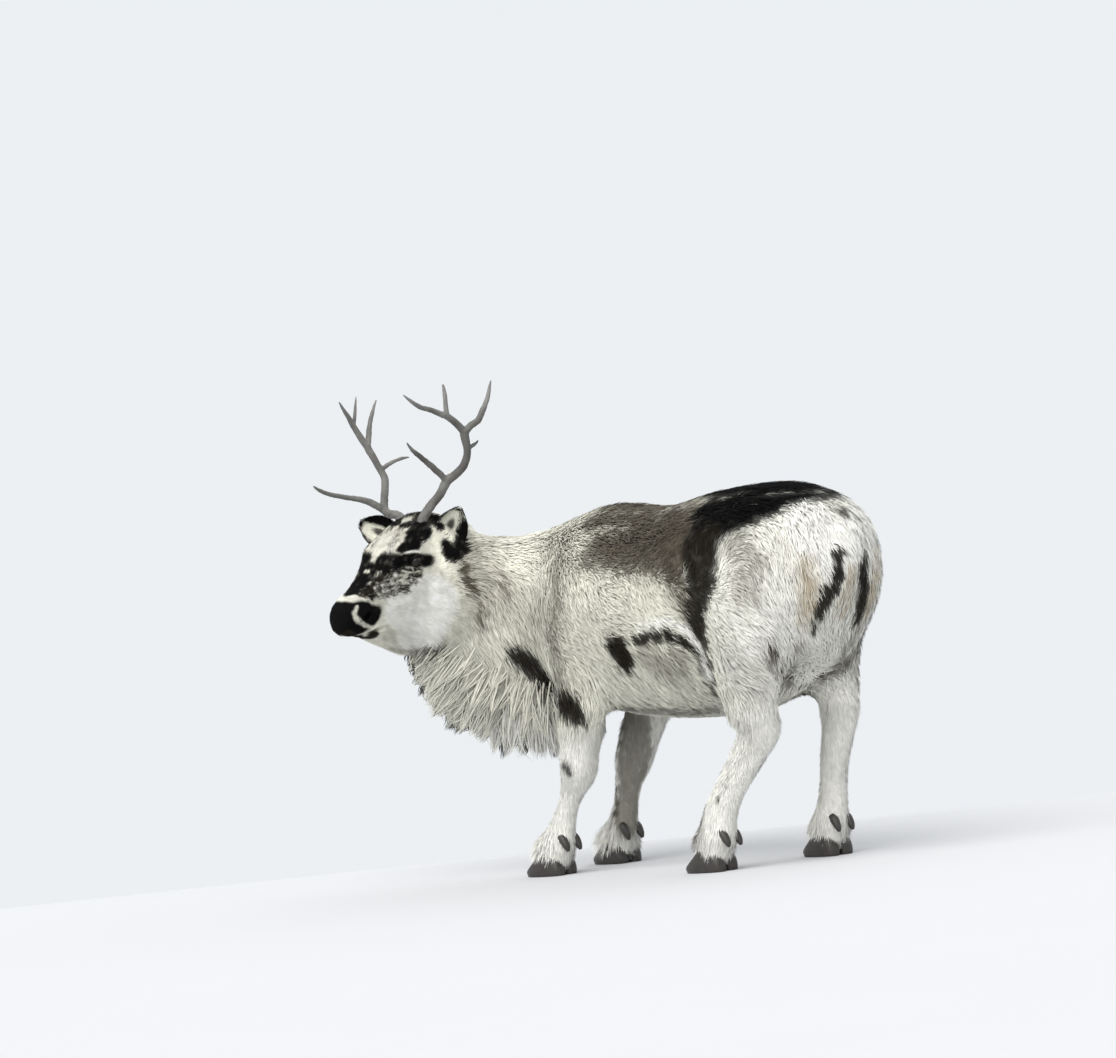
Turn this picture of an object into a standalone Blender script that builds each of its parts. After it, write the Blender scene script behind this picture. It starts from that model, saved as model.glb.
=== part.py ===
"""Life-size still model of a Svalbard reindeer in its winter coat.

The animal stands with its head turned to its left. Metres, +Z up, the body
facing -X, its left side facing -Y, and every hoof sole on the floor at z = 0.
Flesh is lofted through rings along curved lines, fused, smoothed and then
parted with thin plane cuts. Locks, hooves, eyes and antlers are set on it.
"""

import math
import random

import bmesh
import bpy
import numpy as np
from mathutils import Matrix, Vector

# Driving dimensions, in metres, before the model is centred over its feet.
GAP = 0.0003
CLEARANCE = 0.00027
BODY_VOXEL = 0.008
HEAD_VOXEL = 0.0042
BODY_TRIANGLES = 4600
HEAD_TRIANGLES = 2200
BODY_PASSES = 8
HEAD_PASSES = 7
SOLE_HEIGHT = 0.0
CORONET_HEIGHT = 0.046

# The head turns square to the left, drops its nose and leans its near side down.
POLL = Vector((-0.195, -0.240, 0.801))
HEAD_PITCH = math.radians(25)
HEAD_TILT = math.radians(6)

# Trunk and neck: x, y, z of the line, half width, reach up, reach down.
TRUNK = [
    (0.896, 0.0, 0.624, 0.046, 0.080, 0.040),
    (0.885, 0.0, 0.623, 0.104, 0.116, 0.078),
    (0.860, 0.0, 0.622, 0.146, 0.150, 0.118),
    (0.822, 0.0, 0.620, 0.171, 0.174, 0.152),
    (0.760, 0.0, 0.612, 0.190, 0.202, 0.205),
    (0.660, 0.0, 0.598, 0.203, 0.216, 0.246),
    (0.550, 0.0, 0.578, 0.206, 0.226, 0.262),
    (0.450, 0.0, 0.566, 0.205, 0.220, 0.256),
    (0.350, 0.0, 0.562, 0.204, 0.220, 0.248),
    (0.250, 0.0, 0.562, 0.200, 0.230, 0.238),
    (0.170, 0.0, 0.562, 0.190, 0.241, 0.220),
    (0.090, 0.0, 0.564, 0.172, 0.230, 0.190),
    (0.025, -0.012, 0.575, 0.152, 0.198, 0.185),
    (-0.050, -0.040, 0.580, 0.134, 0.169, 0.190),
    (-0.118, -0.090, 0.600, 0.120, 0.154, 0.190),
    (-0.165, -0.150, 0.637, 0.107, 0.142, 0.180),
    (-0.188, -0.205, 0.680, 0.095, 0.122, 0.165),
    (-0.200, -0.245, 0.690, 0.080, 0.100, 0.140),
]

# Legs: x, y, z of the line, half width, reach forward, reach back.
LEFT_FORE = [
    (0.170, -0.110, 0.640, 0.060, 0.085, 0.085),
    (0.170, -0.125, 0.520, 0.066, 0.105, 0.105),
    (0.192, -0.135, 0.420, 0.058, 0.085, 0.085),
    (0.172, -0.137, 0.330, 0.050, 0.062, 0.064),
    (0.157, -0.138, 0.275, 0.045, 0.050, 0.052),
    (0.148, -0.140, 0.225, 0.043, 0.046, 0.046),
    (0.128, -0.140, 0.190, 0.032, 0.036, 0.034),
    (0.108, -0.141, 0.155, 0.025, 0.027, 0.028),
    (0.087, -0.142, 0.118, 0.027, 0.029, 0.033),
    (0.070, -0.143, 0.088, 0.031, 0.035, 0.040),
    (0.052, -0.145, 0.060, 0.035, 0.042, 0.044),
    (0.040, -0.145, 0.036, 0.036, 0.046, 0.042),
]
RIGHT_FORE = [
    (0.150, 0.110, 0.640, 0.060, 0.085, 0.085),
    (0.150, 0.118, 0.520, 0.066, 0.105, 0.105),
    (0.155, 0.110, 0.420, 0.058, 0.080, 0.085),
    (0.127, 0.095, 0.330, 0.050, 0.056, 0.060),
    (0.104, 0.086, 0.270, 0.046, 0.050, 0.052),
    (0.084, 0.082, 0.222, 0.044, 0.048, 0.046),
    (0.066, 0.080, 0.185, 0.035, 0.039, 0.038),
    (0.052, 0.080, 0.150, 0.031, 0.034, 0.034),
    (0.040, 0.080, 0.115, 0.031, 0.034, 0.036),
    (0.028, 0.080, 0.085, 0.033, 0.037, 0.040),
    (0.016, 0.080, 0.060, 0.036, 0.042, 0.044),
    (0.006, 0.080, 0.036, 0.037, 0.046, 0.042),
]
LEFT_HIND = [
    (0.720, -0.095, 0.700, 0.085, 0.105, 0.095),
    (0.728, -0.120, 0.590, 0.088, 0.125, 0.100),
    (0.720, -0.132, 0.490, 0.080, 0.120, 0.088),
    (0.702, -0.133, 0.410, 0.066, 0.096, 0.080),
    (0.686, -0.122, 0.345, 0.052, 0.076, 0.074),
    (0.686, -0.112, 0.300, 0.044, 0.056, 0.066),
    (0.668, -0.114, 0.262, 0.038, 0.046, 0.052),
    (0.640, -0.124, 0.215, 0.035, 0.042, 0.042),
    (0.610, -0.136, 0.170, 0.034, 0.040, 0.040),
    (0.586, -0.143, 0.128, 0.035, 0.041, 0.044),
    (0.572, -0.147, 0.090, 0.036, 0.042, 0.048),
    (0.560, -0.149, 0.060, 0.037, 0.044, 0.046),
    (0.552, -0.150, 0.036, 0.037, 0.046, 0.042),
]
RIGHT_HIND = [
    (0.715, 0.085, 0.700, 0.078, 0.105, 0.085),
    (0.712, 0.100, 0.590, 0.076, 0.118, 0.074),
    (0.708, 0.110, 0.490, 0.068, 0.108, 0.068),
    (0.702, 0.118, 0.410, 0.057, 0.084, 0.062),
    (0.700, 0.119, 0.350, 0.048, 0.062, 0.058),
    (0.702, 0.116, 0.300, 0.042, 0.048, 0.052),
    (0.692, 0.114, 0.255, 0.035, 0.040, 0.044),
    (0.678, 0.114, 0.205, 0.032, 0.037, 0.037),
    (0.667, 0.115, 0.160, 0.031, 0.036, 0.036),
    (0.658, 0.115, 0.120, 0.032, 0.036, 0.040),
    (0.648, 0.115, 0.088, 0.034, 0.039, 0.045),
    (0.638, 0.115, 0.060, 0.036, 0.044, 0.045),
    (0.632, 0.115, 0.036, 0.037, 0.046, 0.042),
]
LEGS = {
    "fore_left": LEFT_FORE,
    "fore_right": RIGHT_FORE,
    "hind_left": LEFT_HIND,
    "hind_right": RIGHT_HIND,
}
# Height at which each leg is parted at its knee or hock, and at its top.
LOWER_CUT = {"fore_left": 0.235, "fore_right": 0.232, "hind_left": 0.285, "hind_right": 0.285}
UPPER_CUT = {"fore_left": 0.330, "fore_right": 0.318, "hind_left": 0.338, "hind_right": 0.338}
CUT_MARGIN = 0.016

# Planes that part head from neck and neck from torso: a point and a direction forward.
HEAD_PLANE = (Vector((-0.176, -0.176, 0.720)), Vector((0.0, -0.950, 0.310)).normalized())
NECK_PLANE = (Vector((0.010, -0.015, 0.600)), Vector((-0.940, -0.340, 0.0)).normalized())
NECK_PLATE = (0.60, 0.78)

TAIL = [
    (0.852, 0.0, 0.738, 0.028, 0.018, 0.022),
    (0.884, 0.0, 0.722, 0.038, 0.020, 0.022),
    (0.903, 0.0, 0.690, 0.045, 0.020, 0.020),
    (0.909, 0.0, 0.648, 0.041, 0.017, 0.016),
    (0.905, 0.0, 0.606, 0.024, 0.010, 0.010),
    (0.902, 0.0, 0.588, 0.007, 0.004, 0.004),
]

# Head in its own frame: distance forward, across and up from the poll.
SKULL = [
    (-0.105, 0.0, -0.110, 0.060, 0.050, 0.070),
    (-0.060, 0.0, -0.100, 0.080, 0.082, 0.135),
    (-0.010, 0.0, -0.092, 0.085, 0.100, 0.170),
    (0.040, 0.0, -0.090, 0.084, 0.101, 0.186),
    (0.090, 0.0, -0.092, 0.079, 0.093, 0.190),
    (0.135, 0.0, -0.094, 0.067, 0.079, 0.182),
    (0.180, 0.0, -0.097, 0.054, 0.062, 0.155),
    (0.220, 0.0, -0.099, 0.045, 0.054, 0.102),
    (0.255, 0.0, -0.099, 0.042, 0.050, 0.056),
    (0.282, 0.0, -0.099, 0.038, 0.044, 0.036),
    (0.300, 0.0, -0.097, 0.029, 0.033, 0.022),
    (0.308, 0.0, -0.095, 0.013, 0.017, 0.010),
]
SKULL_POWER = 0.80
EYE_AT = (0.091, 0.067, -0.054)
EYE_RADIUS = 0.0150
# Brow above and cheekbone below each eye: middle and half sizes.
EYE_RIDGES = [
    ((0.098, 0.046, -0.027), (0.052, 0.032, 0.026)),
    ((0.086, 0.050, -0.087), (0.055, 0.028, 0.020)),
]
LID_LENGTH = 0.0195
LID_HEIGHT = 0.0130
LID_THICKNESS = 0.0042
NOSTRIL_AT = (0.247, 0.042, -0.099)
NOSTRIL_SIZE = (0.017, 0.010, 0.011)
MOUTH_FRONT = (0.315, -0.124)
MOUTH_CORNER = (0.222, -0.144)
MOUTH_GAP = 0.003
MOUTH_DEPTH = 0.006

# Ears: base and tip in the head's frame, the way the cup opens, and its half width.
EARS = {
    "ear_left": ((-0.004, 0.060, -0.076), (-0.046, 0.103, -0.003), (0.85, 0.45, -0.10), 0.037),
    "ear_right": ((0.014, -0.056, -0.048), (0.036, -0.138, 0.002), (0.62, 0.66, 0.25), 0.036),
}
EAR_THICKNESS = 0.0055
EAR_DEPTH = 0.022

# Antlers: x, y, z and radius along each branch, from the root to the tip.
ANTLERS = {
    "antler_left_beam": [
        (-0.165, -0.244, 0.785, 0.0130),
        (-0.147, -0.227, 0.821, 0.0115),
        (-0.130, -0.210, 0.845, 0.0110),
        (-0.116, -0.197, 0.873, 0.0118),
        (-0.099, -0.187, 0.885, 0.0108),
        (-0.081, -0.178, 0.900, 0.0104),
        (-0.068, -0.175, 0.921, 0.0098),
        (-0.060, -0.178, 0.940, 0.0098),
        (-0.058, -0.183, 0.962, 0.0108),
        (-0.056, -0.185, 0.980, 0.0118),
    ],
    "antler_left_front_tine": [
        (-0.116, -0.197, 0.873, 0.0088),
        (-0.116, -0.215, 0.890, 0.0082),
        (-0.116, -0.241, 0.912, 0.0077),
        (-0.114, -0.268, 0.932, 0.0066),
        (-0.111, -0.292, 0.949, 0.0050),
        (-0.106, -0.309, 0.965, 0.0022),
    ],
    "antler_left_rear_top": [
        (-0.056, -0.184, 0.974, 0.0098),
        (-0.050, -0.172, 0.987, 0.0090),
        (-0.042, -0.154, 0.998, 0.0082),
        (-0.040, -0.139, 1.019, 0.0076),
        (-0.039, -0.125, 1.040, 0.0060),
        (-0.039, -0.116, 1.061, 0.0044),
        (-0.038, -0.108, 1.082, 0.0020),
    ],
    "antler_left_front_top": [
        (-0.057, -0.184, 0.976, 0.0098),
        (-0.060, -0.200, 0.994, 0.0090),
        (-0.060, -0.224, 1.012, 0.0086),
        (-0.059, -0.246, 1.020, 0.0077),
        (-0.057, -0.275, 1.031, 0.0066),
        (-0.058, -0.302, 1.039, 0.0060),
        (-0.060, -0.322, 1.052, 0.0048),
        (-0.066, -0.340, 1.069, 0.0020),
    ],
    "antler_right_beam": [
        (-0.223, -0.236, 0.785, 0.0130),
        (-0.238, -0.243, 0.808, 0.0115),
        (-0.262, -0.249, 0.815, 0.0110),
        (-0.279, -0.245, 0.827, 0.0105),
        (-0.290, -0.233, 0.845, 0.0098),
        (-0.303, -0.217, 0.867, 0.0098),
        (-0.312, -0.206, 0.889, 0.0093),
        (-0.320, -0.205, 0.905, 0.0090),
        (-0.327, -0.209, 0.921, 0.0088),
        (-0.331, -0.217, 0.942, 0.0088),
        (-0.336, -0.223, 0.958, 0.0090),
        (-0.338, -0.226, 0.972, 0.0092),
    ],
    "antler_right_brow_tine": [
        (-0.275, -0.249, 0.822, 0.0092),
        (-0.288, -0.268, 0.840, 0.0090),
        (-0.297, -0.291, 0.851, 0.0077),
        (-0.305, -0.318, 0.858, 0.0066),
        (-0.314, -0.352, 0.867, 0.0060),
        (-0.318, -0.376, 0.875, 0.0055),
        (-0.320, -0.393, 0.884, 0.0044),
        (-0.322, -0.405, 0.893, 0.0020),
    ],
    "antler_right_back_tine": [
        (-0.321, -0.207, 0.911, 0.0064),
        (-0.317, -0.189, 0.921, 0.0055),
        (-0.311, -0.172, 0.928, 0.0048),
        (-0.305, -0.156, 0.932, 0.0040),
        (-0.298, -0.141, 0.933, 0.0020),
    ],
    "antler_right_outer_top": [
        (-0.338, -0.226, 0.966, 0.0086),
        (-0.342, -0.234, 0.981, 0.0082),
        (-0.346, -0.243, 1.000, 0.0077),
        (-0.348, -0.253, 1.019, 0.0070),
        (-0.349, -0.261, 1.035, 0.0060),
        (-0.350, -0.273, 1.054, 0.0044),
        (-0.350, -0.282, 1.070, 0.0020),
    ],
    "antler_right_rear_top": [
        (-0.337, -0.225, 0.966, 0.0084),
        (-0.342, -0.215, 0.984, 0.0077),
        (-0.350, -0.203, 1.006, 0.0066),
        (-0.358, -0.188, 1.028, 0.0055),
        (-0.366, -0.172, 1.047, 0.0045),
        (-0.371, -0.157, 1.066, 0.0020),
    ],
}
# Small points that stay one piece with the branch they grow from.
SNAGS = {
    "antler_left_beam": [
        (-0.060, -0.177, 0.938, 0.0060),
        (-0.057, -0.166, 0.944, 0.0050),
        (-0.054, -0.156, 0.949, 0.0038),
        (-0.052, -0.151, 0.955, 0.0020),
    ],
    "antler_left_front_top": [
        (-0.060, -0.226, 1.010, 0.0068),
        (-0.060, -0.227, 1.031, 0.0064),
        (-0.060, -0.226, 1.053, 0.0055),
        (-0.061, -0.226, 1.071, 0.0043),
        (-0.062, -0.227, 1.084, 0.0020),
    ],
    "antler_right_outer_top": [
        (-0.348, -0.250, 1.012, 0.0055),
        (-0.351, -0.242, 1.031, 0.0046),
        (-0.356, -0.232, 1.053, 0.0038),
        (-0.361, -0.222, 1.079, 0.0020),
    ],
}
# Branches in the order in which each is cut clear of the ones before it.
ANTLER_GROWTH = {
    "antler_left_front_tine": ["antler_left_beam"],
    "antler_left_rear_top": ["antler_left_beam"],
    "antler_left_front_top": ["antler_left_beam", "antler_left_rear_top"],
    "antler_right_brow_tine": ["antler_right_beam"],
    "antler_right_back_tine": ["antler_right_beam"],
    "antler_right_outer_top": ["antler_right_beam"],
    "antler_right_rear_top": ["antler_right_beam", "antler_right_outer_top"],
}

# Feet: where each stands, its heading turned out from -X, and the claws' sizes.
FEET = {
    "fore_left": (0.040, -0.145, math.radians(4)),
    "fore_right": (0.006, 0.080, math.radians(-3)),
    "hind_left": (0.552, -0.150, math.radians(5)),
    "hind_right": (0.632, 0.115, math.radians(-4)),
}
CLAW_SPACING = 0.0208
CLAW_SPLAY = math.radians(5)
CLAW = [
    (-0.044, 0.0, 0.010, 0.008, 0.010, 0.016),
    (-0.036, 0.0, 0.010, 0.0155, 0.026, 0.018),
    (-0.016, 0.0, 0.010, 0.0188, 0.044, 0.020),
    (0.010, 0.0, 0.010, 0.0190, 0.042, 0.020),
    (0.032, 0.0, 0.010, 0.0160, 0.022, 0.018),
    (0.046, 0.0, 0.009, 0.0100, 0.010, 0.014),
    (0.053, 0.0, 0.007, 0.0040, 0.004, 0.010),
]
DEWCLAW_LENGTH = 0.034
DEWCLAW_RADIUS = 0.0095
DEWCLAW_HEIGHT = 0.074
DEWCLAW_SPACING = 0.019

# Mane under throat and neck: x, y, z of its line, half width, reach up, reach down.
MANE = [
    (-0.205, -0.222, 0.560, 0.040, 0.060, 0.050),
    (-0.186, -0.182, 0.520, 0.056, 0.070, 0.095),
    (-0.156, -0.142, 0.470, 0.070, 0.080, 0.125),
    (-0.112, -0.098, 0.425, 0.080, 0.090, 0.132),
    (-0.050, -0.050, 0.402, 0.085, 0.090, 0.132),
    (0.010, -0.025, 0.402, 0.080, 0.090, 0.120),
    (0.050, -0.010, 0.425, 0.058, 0.080, 0.070),
]
# The mane's plain middle goes this share of the way down to the tips of its locks.
MANE_CORE_SHARE = 0.5
# Tiers of locks: angle below the side at root and tip, reach of the tip, and how many a side.
MANE_TIERS = [
    (-52, 14, 1.14, 6),
    (-18, 44, 1.08, 7),
    (12, 70, 1.04, 8),
    (50, 90, 1.00, 8),
]
MANE_SPAN = (0.03, 0.84)
MANE_ROOT_SHARE = 0.70
MANE_FAN = 0.055
LOCK_WIDTH = 0.050
LOCK_THICKNESS = 0.022
LOCK_BULGE = 0.010
LOCK_WAVER = 0.10
# Tail locks: angle from the tail's outer side and distance that the tip hangs past its end.
TAIL_LOCKS = [(-70, 0.006), (-35, 0.016), (0, 0.022), (35, 0.014), (70, 0.008)]
SEED = 11

# Colour and roughness of the plain finish on each kind of piece, found by its name.
FINISHES = {
    "eye": ((0.02, 0.015, 0.01), 0.1),
    "antler": ((0.42, 0.37, 0.31), 0.6),
    "claw": ((0.05, 0.045, 0.04), 0.5),
    "leg": ((0.75, 0.73, 0.68), 0.9),
    "": ((0.68, 0.65, 0.60), 0.9),
}
# Moves the model so that the middle of its box stands over the origin.
SHIFT = Vector((-0.2767, 0.1378, 0.0))


def clear_scene():
    """Remove every object that the new file starts with."""
    for thing in list(bpy.data.objects):
        bpy.data.objects.remove(thing, do_unlink=True)


def new_collection(name):
    """Add a collection under the scene's own."""
    group = bpy.data.collections.new(name)
    bpy.context.scene.collection.children.link(group)
    return group


def add_object(name, mesh, group):
    """Wrap a mesh in an object and link it to a collection."""
    thing = bpy.data.objects.new(name, mesh)
    group.objects.link(thing)
    return thing


def drop(thing):
    """Remove an object and the mesh it used."""
    mesh = thing.data
    bpy.data.objects.remove(thing, do_unlink=True)
    bpy.data.meshes.remove(mesh)


def principled(name, colour, roughness):
    """Make a plain Principled material."""
    finish = bpy.data.materials.new(name)
    finish.use_nodes = True
    shader = finish.node_tree.nodes["Principled BSDF"]
    shader.inputs["Base Color"].default_value = (*colour, 1.0)
    shader.inputs["Roughness"].default_value = roughness
    shader.inputs["Metallic"].default_value = 0.0
    return finish


def smooth_rows(rows, steps):
    """Carry a Catmull-Rom curve through the rows, with steps points a span."""
    points = np.array(rows, float)
    padded = np.vstack([2 * points[0] - points[1], points, 2 * points[-1] - points[-2]])
    out = []
    for i in range(len(points) - 1):
        a, b, c, d = padded[i:i + 4]
        for step in range(steps):
            t = step / steps
            out.append(
                0.5 * (2 * b + (c - a) * t + (2 * a - 5 * b + 4 * c - d) * t * t
                       + (3 * b - a - 3 * c + d) * t ** 3)
            )
    out.append(points[-1])
    return np.array(out)


def ring_frames(line, hint):
    """Find the tangent, upward and sideways directions of a ring at each point of a line."""
    tangents = np.gradient(line, axis=0)
    tangents /= np.linalg.norm(tangents, axis=1)[:, None]
    hint = np.array(hint, float)
    upward = hint - (tangents @ hint)[:, None] * tangents
    upward /= np.linalg.norm(upward, axis=1)[:, None]
    return tangents, upward, np.cross(upward, tangents)


def loft(name, rows, hint, group, sides=28, steps=3, power=1.0):
    """Close a skin over rings that stand square to a curved line.

    Each row holds the line's point, the half width, and the reach towards and
    away from the hint direction. A power under 1 squares the rings.
    """
    rows = smooth_rows(rows, steps)
    _, upward, sideways = ring_frames(rows[:, :3], hint)
    angles = np.linspace(0, 2 * math.pi, sides, endpoint=False)
    across = np.sign(np.cos(angles)) * np.abs(np.cos(angles)) ** power
    along = np.sign(np.sin(angles)) * np.abs(np.sin(angles)) ** power
    verts = []
    for row, up, side in zip(rows, upward, sideways):
        reach = np.where(along > 0, row[4], row[5])
        ring = row[:3] + np.outer(across * row[3], side) + np.outer(along * reach, up)
        verts.extend(ring.tolist())
    faces = []
    for i in range(len(rows) - 1):
        for j in range(sides):
            k = (j + 1) % sides
            faces.append((i * sides + j, i * sides + k, (i + 1) * sides + k, (i + 1) * sides + j))
    faces.append(tuple(reversed(range(sides))))
    faces.append(tuple(range((len(rows) - 1) * sides, len(rows) * sides)))
    mesh = bpy.data.meshes.new(name)
    mesh.from_pydata(verts, [], faces)
    fix_normals(mesh)
    return add_object(name, mesh, group)


def fix_normals(mesh):
    """Turn every face of a closed mesh outwards."""
    work = bmesh.new()
    work.from_mesh(mesh)
    bmesh.ops.recalc_face_normals(work, faces=work.faces[:])
    work.to_mesh(mesh)
    work.free()


def apply_modifiers(thing):
    """Swap an object's mesh for what its modifiers make of it."""
    graph = bpy.context.evaluated_depsgraph_get()
    graph.update()
    made = bpy.data.meshes.new_from_object(thing.evaluated_get(graph))
    old = thing.data
    thing.modifiers.clear()
    thing.data = made
    bpy.data.meshes.remove(old)


def join(name, things, group):
    """Put several meshes into one object, still as separate shells."""
    work = bmesh.new()
    for thing in things:
        work.from_mesh(thing.data)
        drop(thing)
    mesh = bpy.data.meshes.new(name)
    work.to_mesh(mesh)
    work.free()
    return add_object(name, mesh, group)


def fuse(thing, voxel, passes, triangles):
    """Melt a set of crossing shells into one smooth closed skin."""
    remesh = thing.modifiers.new("Fuse", "REMESH")
    remesh.mode = "VOXEL"
    remesh.voxel_size = voxel
    soften = thing.modifiers.new("Soften", "SMOOTH")
    soften.factor = 0.5
    soften.iterations = passes
    apply_modifiers(thing)
    keep_largest(thing)
    count = sum(len(face.vertices) - 2 for face in thing.data.polygons)
    thin = thing.modifiers.new("Thin", "DECIMATE")
    thin.ratio = triangles / count
    thin.use_collapse_triangulate = True
    apply_modifiers(thing)


def shells(work):
    """List the face sets of a bmesh that hang together."""
    left = set(work.faces)
    found = []
    while left:
        seed = left.pop()
        shell = {seed}
        edge_of = [seed]
        while edge_of:
            face = edge_of.pop()
            for edge in face.edges:
                for other in edge.link_faces:
                    if other in left:
                        left.remove(other)
                        shell.add(other)
                        edge_of.append(other)
        found.append(shell)
    return found


def shell_volume(shell):
    """Sum the signed tetrahedra under a closed set of faces."""
    total = 0.0
    for face in shell:
        corners = [vert.co for vert in face.verts]
        for i in range(1, len(corners) - 1):
            total += corners[0].dot(corners[i].cross(corners[i + 1])) / 6
    return total


def keep_largest(thing):
    """Keep only an object's largest closed surface."""
    work = bmesh.new()
    work.from_mesh(thing.data)
    found = sorted(shells(work), key=shell_volume)
    for shell in found[:-1]:
        bmesh.ops.delete(work, geom=list(shell), context="FACES")
    work.to_mesh(thing.data)
    work.free()


def boolean(thing, others, operation, solver="MANIFOLD"):
    """Join or cut an object with a list of closed objects, then remove them."""
    tools = bpy.data.collections.new("Tools")
    bpy.context.scene.collection.children.link(tools)
    for other in others:
        for owner in list(other.users_collection):
            owner.objects.unlink(other)
        tools.objects.link(other)
    for other in others:
        step = thing.modifiers.new("Step", "BOOLEAN")
        step.operation = operation
        step.solver = solver
        step.object = other
        apply_modifiers(thing)
    for other in others:
        drop(other)
    bpy.data.collections.remove(tools)


def unite(thing, pieces):
    """Join closed pieces to a node by one union on their collection, then remove them."""
    heap = bpy.data.collections.new("Heap")
    bpy.context.scene.collection.children.link(heap)
    for piece in pieces:
        for owner in list(piece.users_collection):
            owner.objects.unlink(piece)
        heap.objects.link(piece)
    union = thing.modifiers.new("Union", "BOOLEAN")
    union.operation = "UNION"
    union.solver = "MANIFOLD"
    union.operand_type = "COLLECTION"
    union.collection = heap
    apply_modifiers(thing)
    for piece in pieces:
        drop(piece)
    bpy.data.collections.remove(heap)
    keep_largest(thing)


def slab(size, place, group):
    """Make a box of the given size, set by a matrix."""
    mesh = bpy.data.meshes.new("Slab")
    work = bmesh.new()
    bmesh.ops.create_cube(work, size=1.0)
    bmesh.ops.scale(work, vec=size, verts=work.verts)
    bmesh.ops.transform(work, matrix=place, verts=work.verts)
    bmesh.ops.recalc_face_normals(work, faces=work.faces[:])
    work.to_mesh(mesh)
    work.free()
    return add_object("Slab", mesh, group)


def part_shells(thing, group, namer):
    """Split an object into its closed shells and name each by its middle."""
    work = bmesh.new()
    work.from_mesh(thing.data)
    made = {}
    for shell in shells(work):
        if abs(shell_volume(shell)) < 1e-6:
            continue
        verts = sorted({v for f in shell for v in f.verts}, key=lambda v: v.index)
        index = {v: i for i, v in enumerate(verts)}
        faces = sorted(shell, key=lambda f: f.index)
        mesh = bpy.data.meshes.new("Shell")
        mesh.from_pydata([v.co[:] for v in verts], [], [[index[v] for v in f.verts] for f in faces])
        middle = sum((v.co for v in verts), Vector()) / len(verts)
        name = namer(middle)
        mesh.name = name
        made[name] = add_object(name, mesh, group)
    work.free()
    drop(thing)
    return made


def head_matrix():
    """Place the head's frame: forward, left and up axes at the poll."""
    forward = Vector((0.0, -math.cos(HEAD_PITCH), -math.sin(HEAD_PITCH)))
    left = Vector((1.0, 0.0, 0.0))
    up = left.cross(forward)
    if up.z < 0:
        up = -up
    leaned_left = left * math.cos(HEAD_TILT) - up * math.sin(HEAD_TILT)
    leaned_up = up * math.cos(HEAD_TILT) + left * math.sin(HEAD_TILT)
    matrix = Matrix((forward, leaned_left, leaned_up)).transposed().to_4x4()
    return Matrix.Translation(POLL) @ matrix


def leg_at(rows, height):
    """Find a leg's line and half sizes at a height."""
    rows = smooth_rows(rows, 6)
    i = int(np.argmin(np.abs(rows[:, 2] - height)))
    return rows[i]


def body_namer(middle):
    """Name a piece of the cut body by where its middle lies."""
    side = "left" if middle.y < 0 else "right"
    end = "fore" if middle.x < 0.4 else "hind"
    leg = f"{end}_{side}"
    if middle.z < LOWER_CUT[leg]:
        return f"{leg}_lower_leg"
    if middle.z < UPPER_CUT[leg] + 0.005:
        return f"{leg}_upper_leg"
    if (middle - NECK_PLANE[0]).dot(NECK_PLANE[1]) > 0:
        return "neck"
    return "torso"


def halve(thing, point, normal):
    """Cut an object by a plane, keep the side the normal points to, and close it."""
    work = bmesh.new()
    work.from_mesh(thing.data)
    geometry = work.verts[:] + work.edges[:] + work.faces[:]
    bmesh.ops.bisect_plane(
        work, geom=geometry, dist=1e-7, plane_co=point, plane_no=normal, clear_inner=True
    )
    rim = [edge for edge in work.edges if edge.is_boundary]
    bmesh.ops.holes_fill(work, edges=rim, sides=0)
    bmesh.ops.triangulate(work, faces=[f for f in work.faces if len(f.verts) > 4])
    bmesh.ops.recalc_face_normals(work, faces=work.faces[:])
    work.to_mesh(thing.data)
    work.free()


def mane_core(group):
    """Loft the plain middle of the mane along the underside of throat and neck."""
    rows = [(*row[:5], row[5] * MANE_CORE_SHARE) for row in MANE]
    return loft("Mane", rows, (0, 0, 1), group, sides=20)


def make_body(group, tools):
    """Build trunk, neck and legs as one skin and part it with thin cuts."""
    pieces = [loft("Trunk", TRUNK, (0, 0, 1), tools, sides=36, power=0.92)]
    pieces += [mane_core(tools), skull_core(tools)]
    for name, rows in LEGS.items():
        pieces.append(loft(name, rows, (-1, 0, 0), tools, sides=24))
    body = join("Body", pieces, tools)
    fuse(body, BODY_VOXEL, BODY_PASSES, BODY_TRIANGLES)
    halve(body, Vector((0.0, 0.0, CORONET_HEIGHT)), Vector((0.0, 0.0, 1.0)))
    halve(body, HEAD_PLANE[0] - HEAD_PLANE[1] * GAP / 2, -HEAD_PLANE[1])
    plates = []
    for leg, rows in LEGS.items():
        for height in (LOWER_CUT[leg], UPPER_CUT[leg]):
            x, y, _, half, front, back = leg_at(rows, height)
            size = (front + back + 2 * CUT_MARGIN, 2 * half + 2 * CUT_MARGIN, GAP)
            centre = Vector((x + (back - front) / 2, y, height))
            plates.append(slab(size, Matrix.Translation(centre), tools))
    point, normal = NECK_PLANE
    turn = normal.to_track_quat("X", "Z").to_matrix().to_4x4()
    plates.append(slab((GAP, *NECK_PLATE), Matrix.Translation(point) @ turn, tools))
    boolean(body, plates, "DIFFERENCE")
    return part_shells(body, group, body_namer)


def skull_core(group):
    """Loft the head's own form, with its fur, along its length."""
    skull = loft("Skull", SKULL, (0, 0, 1), group, sides=32, power=SKULL_POWER)
    skull.data.transform(head_matrix())
    return skull


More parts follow.
